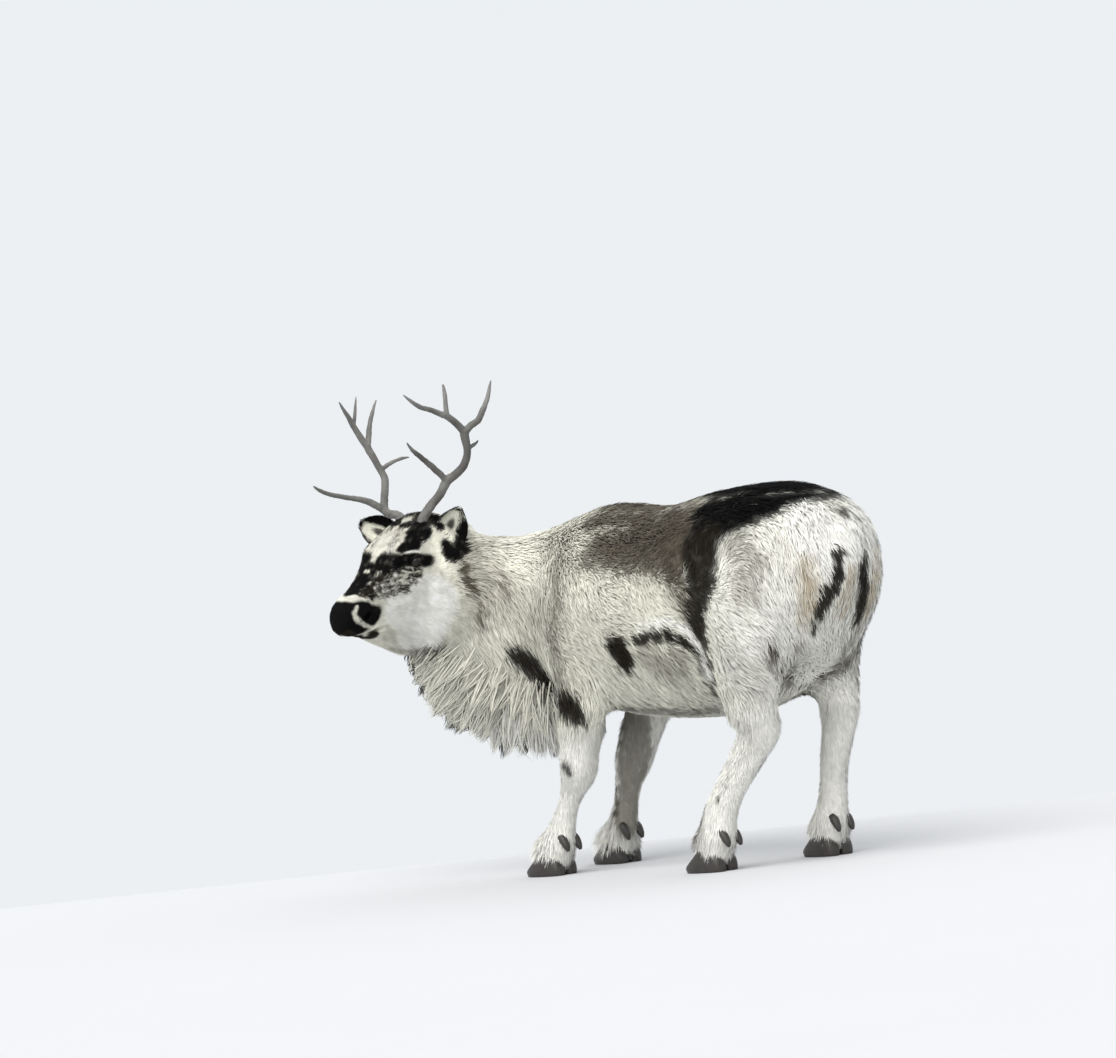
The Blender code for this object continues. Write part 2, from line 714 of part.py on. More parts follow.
def make_head(group, tools):
    """Build the head, part it from the neck and cut its features."""
    place = head_matrix()
    stub = loft("Stub", TRUNK[-6:], (0, 0, 1), tools, sides=36, power=0.92)
    ridges = [ball(at, size, side, place, tools, 3) for at, size in EYE_RIDGES for side in (1, -1)]
    head = join("head", [skull_core(tools), stub, mane_core(tools), *ridges], group)
    fuse(head, HEAD_VOXEL, HEAD_PASSES, HEAD_TRIANGLES)
    halve(head, HEAD_PLANE[0] + HEAD_PLANE[1] * GAP / 2, HEAD_PLANE[1])
    lids = [lid_ring(side, place, tools) for side in (1, -1)]
    boolean(head, lids, "UNION")
    cutters = [ball(EYE_AT, (EYE_RADIUS + GAP,) * 3, side, place, tools, 2) for side in (1, -1)]
    cutters += [ball(NOSTRIL_AT, NOSTRIL_SIZE, side, place, tools, 1) for side in (1, -1)]
    cutters.append(mouth_cutter(place, tools))
    boolean(head, cutters, "DIFFERENCE")
    keep_largest(head)
    return head


def ball(at, radii, side, place, group, detail, name="Ball"):
    """Set a ball or egg in the head's frame, mirrored to one side."""
    mesh = bpy.data.meshes.new(name)
    work = bmesh.new()
    bmesh.ops.create_icosphere(work, subdivisions=detail, radius=1.0)
    bmesh.ops.scale(work, vec=radii, verts=work.verts)
    bmesh.ops.translate(work, vec=(at[0], at[1] * side, at[2]), verts=work.verts)
    bmesh.ops.transform(work, matrix=place, verts=work.verts)
    work.to_mesh(mesh)
    work.free()
    return add_object(name, mesh, group)


def lid_ring(side, place, group):
    """Make the rim of the lids: an almond ring that hugs the eyeball."""
    around, across = 20, 6
    centre = Vector((EYE_AT[0], EYE_AT[1] * side, EYE_AT[2]))
    outward = Vector((0.22, side * 0.96, 0.12)).normalized()
    long_axis = Vector((0.96, -side * 0.22, -0.10))
    long_axis = (long_axis - outward * long_axis.dot(outward)).normalized()
    short_axis = outward.cross(long_axis)
    verts = []
    for i in range(around):
        a = 2 * math.pi * i / around
        on = long_axis * math.cos(a) * LID_LENGTH
        on += short_axis * math.sin(a) * LID_HEIGHT * (1 - 0.15 * abs(math.cos(a)))
        depth = math.sqrt(max(0.0, (EYE_RADIUS * 1.12) ** 2 - min(on.length, EYE_RADIUS) ** 2))
        middle = centre + on + outward * depth * 0.9
        radial = on.normalized()
        for j in range(across):
            b = 2 * math.pi * j / across
            offset = radial * math.cos(b) + outward * math.sin(b)
            verts.append((middle + offset * LID_THICKNESS)[:])
    faces = []
    for i in range(around):
        for j in range(across):
            k, n = (i + 1) % around, (j + 1) % across
            faces.append((i * across + j, k * across + j, k * across + n, i * across + n))
    mesh = bpy.data.meshes.new("Lids")
    mesh.from_pydata(verts, [], faces)
    mesh.transform(place)
    fix_normals(mesh)
    return add_object("Lids", mesh, group)


def mouth_cutter(place, group):
    """Make the thin bent wedge that draws the line of the mouth round the muzzle."""
    front, corner = Vector((*MOUTH_FRONT, 0)), Vector((*MOUTH_CORNER, 0))
    run = front - corner
    tilt = math.atan2(run.y, run.x)
    middle = (front + corner) / 2
    turn = Matrix.Rotation(-tilt, 4, "Y")
    at = Matrix.Translation((middle.x, 0.0, middle.y))
    plate = slab((run.length, 0.14, MOUTH_GAP), place @ at @ turn, group)
    inner_rows = [
        (u, v, w, half - MOUTH_DEPTH, max(up - MOUTH_DEPTH, 0.004), max(down - MOUTH_DEPTH, 0.004))
        for u, v, w, half, up, down in SKULL[6:11]
    ]
    core = loft("Core", inner_rows, (0, 0, 1), group, sides=16, power=SKULL_POWER)
    core.data.transform(place)
    boolean(plate, [core], "DIFFERENCE")
    return plate


def make_ear(name, place, group):
    """Loft one ear as a cup: an outer back, an inner hollow and a closed root."""
    base, tip, opening, half_width = EARS[name]
    base, tip, opening = Vector(base), Vector(tip), Vector(opening)
    axis = (tip - base).normalized()
    opening = (opening - axis * opening.dot(axis)).normalized()
    across = axis.cross(opening)
    length = (tip - base).length
    outer, inner = 8, 6
    verts = []
    heights = [-0.12, 0.02, 0.16, 0.32, 0.50, 0.68, 0.84, 0.95, 1.0]
    widths = [0.52, 0.62, 0.82, 0.98, 1.0, 0.86, 0.58, 0.30, 0.08]
    hollow = [-0.6, -0.6, 0.1, 0.75, 1.0, 0.95, 0.8, 0.5, 0.3]
    for t, width, cup in zip(heights, widths, hollow):
        wide = half_width * width
        deep = EAR_DEPTH * (0.35 + 0.65 * width)
        middle = base + axis * length * t - opening * 0.010 * t * t
        for j in range(outer):
            a = math.pi * j / (outer - 1)
            verts.append((middle + across * wide * math.cos(a) - opening * deep * math.sin(a))[:])
        for j in range(inner):
            a = math.pi * (1 - (j + 1) / (inner + 1))
            wall = min(EAR_THICKNESS, 0.4 * deep)
            bowl = cup * (deep - wall) * math.sin(a)
            verts.append((middle + across * (wide - wall * 0.6) * math.cos(a) - opening * bowl)[:])
    sides = outer + inner
    faces = []
    for i in range(len(heights) - 1):
        for j in range(sides):
            k = (j + 1) % sides
            faces.append((i * sides + j, i * sides + k, (i + 1) * sides + k, (i + 1) * sides + j))
    faces.append(tuple(reversed(range(sides))))
    faces.append(tuple(range((len(heights) - 1) * sides, len(heights) * sides)))
    mesh = bpy.data.meshes.new(name)
    mesh.from_pydata(verts, [], faces)
    mesh.transform(place)
    work = bmesh.new()
    work.from_mesh(mesh)
    bmesh.ops.triangulate(work, faces=work.faces[:])
    bmesh.ops.recalc_face_normals(work, faces=work.faces[:])
    work.to_mesh(mesh)
    work.free()
    return add_object(name, mesh, group)


def clear_of(thing, neighbours, group):
    """Cut a piece clear of its neighbours by the gap that touching pieces keep."""
    cutters = []
    for neighbour in neighbours:
        mesh = neighbour.data.copy()
        normals = np.array([vert.normal[:] for vert in mesh.vertices])
        places = np.array([vert.co[:] for vert in mesh.vertices]) + normals * CLEARANCE
        mesh.vertices.foreach_set("co", places.ravel())
        mesh.update()
        cutters.append(add_object("Clear", mesh, group))
    boolean(thing, cutters, "DIFFERENCE")
    keep_largest(thing)


def tube(name, rows, group, steps=1):
    """Make a tapered round branch from a bevelled curve, as a closed mesh."""
    rows = smooth_rows(rows, steps)
    curve = bpy.data.curves.new(name, "CURVE")
    curve.dimensions = "3D"
    curve.bevel_depth = 0.01
    curve.bevel_resolution = 2
    curve.use_fill_caps = True
    spline = curve.splines.new("POLY")
    spline.points.add(len(rows) - 1)
    for point, row in zip(spline.points, rows):
        point.co = (row[0], row[1], row[2], 1.0)
        point.radius = row[3] / curve.bevel_depth
    path = bpy.data.objects.new(name, curve)
    group.objects.link(path)
    graph = bpy.context.evaluated_depsgraph_get()
    graph.update()
    mesh = bpy.data.meshes.new_from_object(path.evaluated_get(graph))
    bpy.data.objects.remove(path, do_unlink=True)
    bpy.data.curves.remove(curve)
    work = bmesh.new()
    work.from_mesh(mesh)
    bmesh.ops.remove_doubles(work, verts=work.verts, dist=1e-5)
    bmesh.ops.triangulate(work, faces=work.faces[:])
    bmesh.ops.recalc_face_normals(work, faces=work.faces[:])
    work.to_mesh(mesh)
    work.free()
    return add_object(name, mesh, group)


def make_antlers(head, group, tools):
    """Grow each branch as a tapered tube and part it from what it grows from."""
    branches = {name: tube(name, rows, group) for name, rows in ANTLERS.items()}
    for name, rows in SNAGS.items():
        boolean(branches[name], [tube("Snag", rows, tools)], "UNION")
        keep_largest(branches[name])
    for name in ("antler_left_beam", "antler_right_beam"):
        clear_of(branches[name], [head], tools)
    for name, parents in ANTLER_GROWTH.items():
        clear_of(branches[name], [branches[parent] for parent in parents], tools)
    return branches


def make_feet(legs, group, tools):
    """Set two claws and two dewclaws on each foot."""
    feet = {}
    for foot, (x, y, heading) in FEET.items():
        stand = Matrix.Translation((x, y, 0.0)) @ Matrix.Rotation(math.pi + heading, 4, "Z")
        for side, word in ((1, "inner"), (-1, "outer")):
            across = side if y < 0 else -side
            name = f"{foot}_{word}_claw"
            claw = loft(name, CLAW, (0, 0, 1), group, sides=10, steps=1, power=0.85)
            turn = Matrix.Rotation(-across * CLAW_SPLAY, 4, "Z")
            claw.data.transform(stand @ Matrix.Translation((0, -across * CLAW_SPACING, 0)) @ turn)
            halve(claw, Vector((0, 0, SOLE_HEIGHT)), Vector((0, 0, 1)))
            halve(claw, Vector((0, 0, CORONET_HEIGHT - GAP)), Vector((0, 0, -1)))
            feet[name] = claw
            name = f"{foot}_{word}_dewclaw"
            dew_rows = [
                (0.0, 0.0, 0.012, DEWCLAW_RADIUS * 0.8),
                (-0.008, 0.0, 0.002, DEWCLAW_RADIUS),
                (-0.016, 0.0, -0.012, DEWCLAW_RADIUS * 0.8),
                (-0.020, 0.0, 0.012 - DEWCLAW_LENGTH, DEWCLAW_RADIUS * 0.35),
            ]
            dewclaw = tube(name, dew_rows, group)
            rows = LEGS[foot]
            line = leg_at(rows, DEWCLAW_HEIGHT)
            back = -(line[0] + line[5] * 0.88 - x)
            dewclaw.data.transform(
                stand @ Matrix.Translation((back, -across * DEWCLAW_SPACING, DEWCLAW_HEIGHT))
            )
            clear_of(dewclaw, [legs[f"{foot}_lower_leg"]], tools)
            feet[name] = dewclaw
    return feet


def lock(root, tip, broad, bulge, width, thickness, group):
    """Make one flat tapered lock that bends from its root down to its tip.

    Its line is a quadratic curve from root to tip, its middle pushed along bulge.
    """
    knee = (root + tip) / 2 + bulge
    verts = []
    for t, share in ((0.0, 0.85), (0.30, 1.0), (0.58, 0.80), (0.82, 0.45)):
        middle = root * (1 - t) ** 2 + knee * 2 * t * (1 - t) + tip * t * t
        run = ((knee - root) * (1 - t) + (tip - knee) * t).normalized()
        side = (broad - run * broad.dot(run)).normalized()
        face = run.cross(side)
        for a, b in ((1, 0), (0, 1), (-1, 0), (0, -1)):
            verts.append((middle + side * a * width * share / 2 + face * b * thickness * share / 2)[:])
    verts.append(tip[:])
    faces = [(3, 2, 1, 0)]
    for i in range(3):
        for j in range(4):
            k = (j + 1) % 4
            faces.append((i * 4 + j, i * 4 + k, i * 4 + 4 + k, i * 4 + 4 + j))
    faces += [(12 + j, 12 + (j + 1) % 4, 16) for j in range(4)]
    mesh = bpy.data.meshes.new("Lock")
    mesh.from_pydata(verts, [], faces)
    work = bmesh.new()
    work.from_mesh(mesh)
    bmesh.ops.triangulate(work, faces=work.faces[:])
    bmesh.ops.recalc_face_normals(work, faces=work.faces[:])
    work.to_mesh(mesh)
    work.free()
    return add_object("Lock", mesh, group)


def make_mane(neck, neighbours, group):
    """Hang tiers of locks on the neck, fanned towards the throat, clear of their neighbours."""
    dice = random.Random(SEED)
    rows = smooth_rows(MANE, 8)
    tangents, upward, sideways = ring_frames(rows[:, :3], (0, 0, 1))
    locks = []
    for root_angle, tip_angle, reach, count in MANE_TIERS:
        for number in range(2 * count):
            side = 1 if number % 2 else -1
            share = (number // 2 + 0.5 + dice.uniform(-0.2, 0.2)) / count
            share = MANE_SPAN[0] + share * (MANE_SPAN[1] - MANE_SPAN[0])
            at = min(int(share * len(rows)), len(rows) - 1)
            ends = []
            for angle, scale in ((root_angle, MANE_ROOT_SHARE), (tip_angle, reach)):
                turn = math.radians(angle)
                depth = rows[at][4] if angle < 0 else rows[at][5]
                ends.append(
                    rows[at][:3]
                    + sideways[at] * side * rows[at][3] * math.cos(turn) * scale
                    - upward[at] * depth * math.sin(turn) * scale
                )
            root, tip = Vector(ends[0]), Vector(ends[1])
            forward = -Vector(tangents[at])
            tip += forward * MANE_FAN * (1 - share)
            tip += (tip - root) * dice.uniform(-LOCK_WAVER, LOCK_WAVER)
            outward = Vector(sideways[at]) * side * math.cos(turn) - Vector(upward[at]) * math.sin(turn)
            width = LOCK_WIDTH * dice.uniform(1 - LOCK_WAVER, 1 + LOCK_WAVER)
            bulge = (outward + Vector(sideways[at]) * side) * LOCK_BULGE
            locks.append(lock(root, tip, forward, bulge, width, LOCK_THICKNESS, group))
    unite(neck, locks)
    clear_of(neck, neighbours, group)


def make_tail(torso, group, tools):
    """Make the short flat tail, with locks at its end, clear of the rump."""
    tail = loft("tail", TAIL, (1, 0, 0), group, sides=12, steps=2)
    locks = []
    for angle, beyond in TAIL_LOCKS:
        turn = math.radians(angle)
        x, y, z, half, _, _ = TAIL[3]
        root = Vector((x, y + half * 0.6 * math.sin(turn), z))
        end = TAIL[-1]
        tip = Vector((end[0] + 0.004, half * 0.75 * math.sin(turn), end[2] - beyond))
        locks.append(lock(root, tip, Vector((0, 1, 0)), Vector((0.006, 0, 0)), 0.026, 0.016, tools))
    unite(tail, locks)
    clear_of(tail, [torso], tools)
    return tail


def dress_and_centre(nodes):
    """Give each node its own plain finish and move it to stand over the origin."""
    for name, node in nodes.items():
        kind = next(word for word in FINISHES if word in name)
        colour, roughness = FINISHES[kind]
        node.data.materials.clear()
        node.data.materials.append(principled(name, colour, roughness))
        node.data.transform(Matrix.Translation(SHIFT))


def main():
    """Build every node and centre the model over its feet."""
    clear_scene()
    model = new_collection("Reindeer")
    tools = new_collection("Cutters")
    place = head_matrix()
    nodes = make_body(model, tools)
    head = make_head(model, tools)
    nodes["head"] = head
    make_mane(nodes["neck"], [head, nodes["torso"]], tools)
    for name in EARS:
        nodes[name] = make_ear(name, place, model)
        clear_of(nodes[name], [head, nodes["neck"]], tools)
    for side, word in ((1, "left"), (-1, "right")):
        name = f"eye_{word}"
        nodes[name] = ball(EYE_AT, (EYE_RADIUS,) * 3, side, place, model, 2, name)
    nodes.update(make_antlers(head, model, tools))
    nodes.update(make_feet(nodes, model, tools))
    nodes["tail"] = make_tail(nodes["torso"], model, tools)
    dress_and_centre(nodes)
    bpy.data.collections.remove(tools)


main()
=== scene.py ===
"""Looks of a life-size still Svalbard reindeer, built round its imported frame.

Places are worked out in the animal's own coordinates, in metres: the body faces -X,
its left side faces -Y and its hooves stand at z = 0. SHIFT then moves every piece into
the row frame. One skin stands for the flesh, and tufts of solid mesh grow over it.
"""

import logging
import math
from dataclasses import dataclass
from enum import Enum
from typing import Dict, List, Optional, Sequence, Tuple, Union

import bmesh
import bpy
import numpy as np
from mathutils import Matrix


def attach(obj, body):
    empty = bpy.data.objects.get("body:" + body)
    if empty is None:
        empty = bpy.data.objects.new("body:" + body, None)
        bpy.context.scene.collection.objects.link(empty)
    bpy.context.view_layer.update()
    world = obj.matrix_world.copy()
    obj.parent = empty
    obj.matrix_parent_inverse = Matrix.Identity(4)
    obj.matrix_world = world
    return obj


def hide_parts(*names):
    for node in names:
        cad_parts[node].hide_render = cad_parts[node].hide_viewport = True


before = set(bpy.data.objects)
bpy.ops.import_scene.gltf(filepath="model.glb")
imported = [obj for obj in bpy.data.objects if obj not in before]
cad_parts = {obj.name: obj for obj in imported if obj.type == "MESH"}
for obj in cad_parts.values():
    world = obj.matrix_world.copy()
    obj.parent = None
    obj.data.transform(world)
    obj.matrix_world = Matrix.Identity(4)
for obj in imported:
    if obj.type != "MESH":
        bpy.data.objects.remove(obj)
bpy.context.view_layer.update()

LOG = logging.getLogger("reindeer")
Array = np.ndarray
Row = Tuple[float, ...]
Point = Tuple[float, float, float]
Socket = Union[str, int, None]

SHIFT = np.array([-0.2767, 0.1378, 0.0])
SEED = 20
HEAVY = 190000
FAR = 9.0
FULL_BRIGHT = (0.6, 1.4)
UPWARDS = (0.0, 0.0, 1.0)


# Numpy helpers


def unit(vectors: Array) -> Array:
    """Scale vectors to length one: each is divided by its own length.

    Args:
        vectors: vectors along the last axis.

    Returns:
        The unit vectors.
    """
    lengths = np.linalg.norm(vectors, axis=-1, keepdims=True)
    return vectors / np.maximum(lengths, 1e-9)


def ease(values: Array, low: float, high: float) -> Array:
    """Rise smoothly from 0 at low to 1 at high: 3t squared less 2t cubed.

    Args:
        values: numbers to map.
        low: where the rise starts.
        high: where it ends. A high under low gives a fall.

    Returns:
        Shares from 0 to 1.
    """
    t = np.clip((values - low) / (high - low), 0.0, 1.0)
    return t * t * (3.0 - 2.0 * t)


def lattice_hash(cells: Array, seed: int) -> Array:
    """Mix whole-number cell places into even random numbers from 0 to 1.

    Args:
        cells: whole-number places along the last axis.
        seed: number that picks the pattern.

    Returns:
        One number for each cell.
    """
    mixed = cells[..., 0] * 374761393 + cells[..., 1] * 668265263
    mixed = mixed + cells[..., 2] * 2147483647 + seed * 1274126177
    mixed = (mixed ^ (mixed >> 13)) * 1274126177
    mixed = mixed ^ (mixed >> 16)
    return (mixed & 0xFFFFFF) / float(0xFFFFFF)


def noise(points: Array, size: float, seed: int, octaves: int = 1) -> Array:
    """Smooth random field: random corner values of a cubic lattice, blended with eased shares.

    Each further octave has half the size and half the strength of the one before.

    Args:
        points: places, one a row.
        size: lattice spacing in metres of the first octave.
        seed: number that picks the pattern.
        octaves: how many layers are summed.

    Returns:
        Values from about -1 to 1.
    """
    total = np.zeros(len(points))
    strength = 1.0
    reach = 0.0
    for octave in range(octaves):
        grid = points * (2 ** octave / size) + 17.3 * octave
        base = np.floor(grid).astype(np.int64)
        share = grid - base
        share = share * share * (3.0 - 2.0 * share)
        value = np.zeros(len(points))
        for corner in range(8):
            step = np.array([corner & 1, (corner >> 1) & 1, (corner >> 2) & 1])
            weight = np.prod(np.where(step, share, 1.0 - share), axis=1)
            value += weight * lattice_hash(base + step, seed + octave)
        total += strength * (2.0 * value - 1.0)
        reach += strength
        strength *= 0.5
    return total / reach


def chain_gap(points: Array, path: Array, radii: Array) -> Array:
    """Measure from points to a chain of balls: distance to a span less the radius there.

    Args:
        points: places, one a row.
        path: the chain's own points.
        radii: the radius at each.

    Returns:
        The least gap of each place.
    """
    gap = np.full(len(points), FAR)
    for i in range(max(len(path) - 1, 1)):
        j = min(i + 1, len(path) - 1)
        run = path[j] - path[i]
        t = np.clip(((points - path[i]) @ run) / max(run @ run, 1e-9), 0, 1)
        off = points - path[i] - t[:, None] * run
        here = np.linalg.norm(off, axis=1) - radii[i] - t * (radii[j] - radii[i])
        gap = np.minimum(gap, here)
    return gap


def metres(rows: Sequence[Row]) -> List[Row]:
    """Turn rows of millimetres into metres."""
    return [tuple(size / 1000.0 for size in row) for row in rows]


def smooth_rows(rows: Sequence[Row], steps: int) -> Array:
    """Carry a Catmull-Rom curve through rows: each span is the cubic through its two rows.

    Args:
        rows: points, with any sizes that go with them.
        steps: points a span.

    Returns:
        The finer rows.
    """
    points = np.asarray(rows, float)
    ends = np.vstack([2 * points[0] - points[1], points, 2 * points[-1] - points[-2]])
    spans = len(points) - 1
    a, b, c, d = (ends[i:i + spans][:, None, :] for i in range(4))
    t = (np.arange(steps) / steps)[None, :, None]
    fine = 0.5 * (2 * b + (c - a) * t + (2 * a - 5 * b + 4 * c - d) * t ** 2
                  + (3 * b - a - 3 * c + d) * t ** 3)
    return np.vstack([fine.reshape(-1, points.shape[1]), points[-1:]])


def ring_frames(line: Array, hint: Point) -> Tuple[Array, Array, Array]:
    """Find tangent, upward and sideways directions along a line.

    Upward is the hint less its part along the tangent; sideways is their cross product.

    Args:
        line: points of the line.
        hint: rough upward direction.

    Returns:
        Tangents, upward and sideways unit vectors.
    """
    tangents = unit(np.gradient(line, axis=0))
    hint_row = np.array(hint, float)
    upward = unit(hint_row - (tangents @ hint_row)[:, None] * tangents)
    return tangents, upward, np.cross(upward, tangents)


# Meshes as arrays


@dataclass
class Shell:
    """A surface as arrays: vertex places and triangles."""

    verts: Array
    faces: Array

    def moved(self, offsets: Array) -> "Shell":
        """Give the shell with its vertices moved by the offsets."""
        return Shell(self.verts + offsets, self.faces)

    def normals(self) -> Array:
        """Average the area-weighted face normals round each vertex.

        Returns:
            Unit vectors, one a vertex.
        """
        corners = self.verts[self.faces]
        across = np.cross(corners[:, 1] - corners[:, 0], corners[:, 2] - corners[:, 0])
        total = sum(np.stack([np.bincount(self.faces[:, corner], part, len(self.verts))
                              for part in across.T], axis=1) for corner in range(3))
        return unit(total)

    def averaged(self, values: Array, passes: int, weight: Optional[Array] = None) -> Array:
        """Move values towards the mean of their neighbours' values, several times.

        Args:
            values: one row a vertex.
            passes: how many times.
            weight: share of the way, one a vertex, or None for the whole way.

        Returns:
            The evened values.
        """
        first, second = np.vstack([self.faces[:, [0, 1]], self.faces[:, [1, 2]],
                                   self.faces[:, [2, 0]]]).T
        count = len(values)
        near = np.bincount(first, minlength=count) + np.bincount(second, minlength=count)
        for _ in range(passes):
            mean = np.stack([np.bincount(first, part[second], count)
                             + np.bincount(second, part[first], count)
                             for part in values.T], axis=1) / np.maximum(near, 1)[:, None]
            values = mean if weight is None else values + (mean - values) * weight[:, None]
        return values

    def softened(self, passes: int, weight: Array) -> "Shell":
        """Move the vertices part of the way to the mean of their neighbours, several times."""
        return Shell(self.averaged(self.verts, passes, weight), self.faces)


def merge(shells: Sequence[Shell]) -> Shell:
    """Put shells into one, with the vertex numbers of each moved past those before it.

    Args:
        shells: the shells.

    Returns:
        One shell of them all.
    """
    starts = np.cumsum([0] + [len(shell.verts) for shell in shells[:-1]])
    verts = np.vstack([shell.verts for shell in shells])
    faces = np.vstack([shell.faces + start for shell, start in zip(shells, starts)])
    return Shell(verts, faces)


def grid_faces(rows: int, columns: int) -> Array:
    """Make two triangles for each cell of a grid whose columns close on themselves.

    Args:
        rows: rings of vertices.
        columns: vertices a ring.

    Returns:
        Triangles as rows of three vertex numbers.
    """
    i, j = np.meshgrid(np.arange(rows - 1), np.arange(columns), indexing="ij")
    k = (j + 1) % columns
    a, b = i * columns + j, i * columns + k
    c, d = b + columns, a + columns
    quads = np.stack([a, b, c, d], axis=-1).reshape(-1, 4)
    return np.vstack([quads[:, [0, 1, 2]], quads[:, [0, 2, 3]]])


def close_rings(rings: Array) -> Shell:
    """Close a stack of rings into a shell, with a middle point at each end.

    Args:
        rings: array of rings by points by three.

    Returns:
        The closed shell.
    """
    count, sides = rings.shape[:2]
    verts = np.vstack([rings.reshape(-1, 3), rings[0].mean(0), rings[-1].mean(0)])
    first, last = count * sides, count * sides + 1
    j = np.arange(sides)
    k = (j + 1) % sides
    low = np.stack([np.full(sides, first), k, j], axis=1)
    top = (count - 1) * sides
    high = np.stack([np.full(sides, last), top + j, top + k], axis=1)
    return Shell(verts, np.vstack([grid_faces(count, sides), low, high]))


def loft(rows: Sequence[Row], hint: Point, sides: int, steps: int, power: float = 1.0) -> Shell:
    """Carry a superellipse along a curved line, square to it.

    A ring's point is the line's point, plus half width times cosine to a power sideways,
    plus reach times sine to the same power upwards. A power under 1 squares the ring.

    Args:
        rows: line point, half width, and reach with and against the hint.
        hint: rough upward direction.
        sides: points a ring.
        steps: rings a row.
        power: the exponent of sine and cosine.

    Returns:
        The closed shell.
    """
    fine = smooth_rows(rows, steps)
    _, upward, sideways = ring_frames(fine[:, :3], hint)
    angles = np.linspace(0, 2 * math.pi, sides, endpoint=False)
    across = np.sign(np.cos(angles)) * np.abs(np.cos(angles)) ** power
    along = np.sign(np.sin(angles)) * np.abs(np.sin(angles)) ** power
    reach = np.where(along[None, :] > 0, fine[:, 4:5], fine[:, 5:6])
    rings = fine[:, None, :3] + (across[None, :] * fine[:, 3:4])[..., None] * sideways[:, None, :]
    rings = rings + (along[None, :] * reach)[..., None] * upward[:, None, :]
    return close_rings(rings)


def tube(rows: Sequence[Row], sides: int, steps: int) -> Shell:
    """Carry a circle of varying radius along a curved line.

    Args:
        rows: line point and radius.
        sides: points a ring.
        steps: rings a row.

    Returns:
        The closed shell.
    """
    full = [(*row[:3], row[3], row[3], row[3]) for row in rows]
    run = np.asarray(rows[-1][:3], float) - np.asarray(rows[0][:3], float)
    hint = (1.0, 0.0, 0.0) if abs(run[0]) < abs(run[1]) + abs(run[2]) else (0.0, 0.0, 1.0)
    return loft(full, hint, sides, steps)


def new_mesh(name: str, shell: Shell) -> bpy.types.Mesh:
    """Put a shell's arrays into a Blender mesh, as smooth triangles in the row frame.

    Args:
        name: the mesh's name.
        shell: the surface, in the animal's own coordinates.

    Returns:
        The mesh.
    """
    mesh = bpy.data.meshes.new(name)
    mesh.vertices.add(len(shell.verts))
    mesh.vertices.foreach_set("co", (shell.verts + SHIFT).astype(np.float32).ravel())
    mesh.loops.add(shell.faces.size)
    mesh.loops.foreach_set("vertex_index", shell.faces.astype(np.int32).ravel())
    mesh.polygons.add(len(shell.faces))
    mesh.polygons.foreach_set("loop_start", np.arange(0, shell.faces.size, 3, dtype=np.int32))
    mesh.update(calc_edges=True)
    mesh.shade_smooth()
    return mesh


def new_object(name: str, data: bpy.types.ID) -> bpy.types.Object:
    """Wrap a mesh, camera or light in an object at the origin and link it to the scene.

    Args:
        name: the object's name.
        data: what it shows.

    Returns:
        The object.
    """
    thing = bpy.data.objects.new(name, data)
    bpy.context.scene.collection.objects.link(thing)
    return thing


def drop(thing: bpy.types.Object) -> None:
    """Remove an object and the mesh it used.

    Args:
        thing: the object.
    """
    mesh = thing.data
    bpy.data.objects.remove(thing, do_unlink=True)
    bpy.data.meshes.remove(mesh)


def face_outwards(mesh: bpy.types.Mesh) -> None:
    """Turn every face of a closed mesh outwards.

    Args:
        mesh: the mesh.
    """
    work = bmesh.new()
    work.from_mesh(mesh)
    bmesh.ops.recalc_face_normals(work, faces=work.faces[:])
    work.to_mesh(mesh)
    work.free()


def evaluated_shell(thing: bpy.types.Object) -> Shell:
    """Read what an object's modifiers make of its mesh, as triangles.

    Args:
        thing: the object.

    Returns:
        Its final surface, in the animal's own coordinates.
    """
    graph = bpy.context.evaluated_depsgraph_get()
    graph.update()
    final = thing.evaluated_get(graph).to_mesh()
    final.calc_loop_triangles()
    verts = np.zeros(len(final.vertices) * 3, np.float32)
    final.vertices.foreach_get("co", verts)
    faces = np.zeros(len(final.loop_triangles) * 3, np.int32)
    final.loop_triangles.foreach_get("vertices", faces)
    thing.evaluated_get(graph).to_mesh_clear()
    return Shell(verts.reshape(-1, 3).astype(float) - SHIFT, faces.reshape(-1, 3).astype(np.int64))


def fused(shells: Sequence[Shell], voxel: float, passes: int) -> Shell:
    """Melt crossing shells into one closed surface on an even voxel grid, then smooth it.

    Args:
        shells: closed shells that cross each other.
        voxel: grid spacing.
        passes: smoothing passes, each moving a vertex half way to its neighbours' mean.

    Returns:
        The fused surface.
    """
    thing = new_object("fusing", new_mesh("fusing", merge(shells)))
    remesh = thing.modifiers.new("Fuse", "REMESH")
    remesh.mode = "VOXEL"
    remesh.voxel_size = voxel
    soften = thing.modifiers.new("Soften", "SMOOTH")
    soften.factor = 0.5
    soften.iterations = passes
    shell = evaluated_shell(thing)
    drop(thing)
    return shell


def united(first: Shell, others: Sequence[Shell]) -> Shell:
    """Join closed shells by a union, so that nothing is left inside.

    Args:
        first: the main shell.
        others: shells to join to it.

    Returns:
        The united surface.
    """
    base = new_object("uniting", new_mesh("uniting", first))
    helpers = []
    for other in others:
        helper = new_object("helper", new_mesh("helper", other))
        face_outwards(helper.data)
        step = base.modifiers.new("Union", "BOOLEAN")
        step.operation = "UNION"
        step.solver = "MANIFOLD"
        step.object = helper
        helpers.append(helper)
    shell = evaluated_shell(base)
    for thing in [base, *helpers]:
        drop(thing)
    return shell


# The animal's own frames


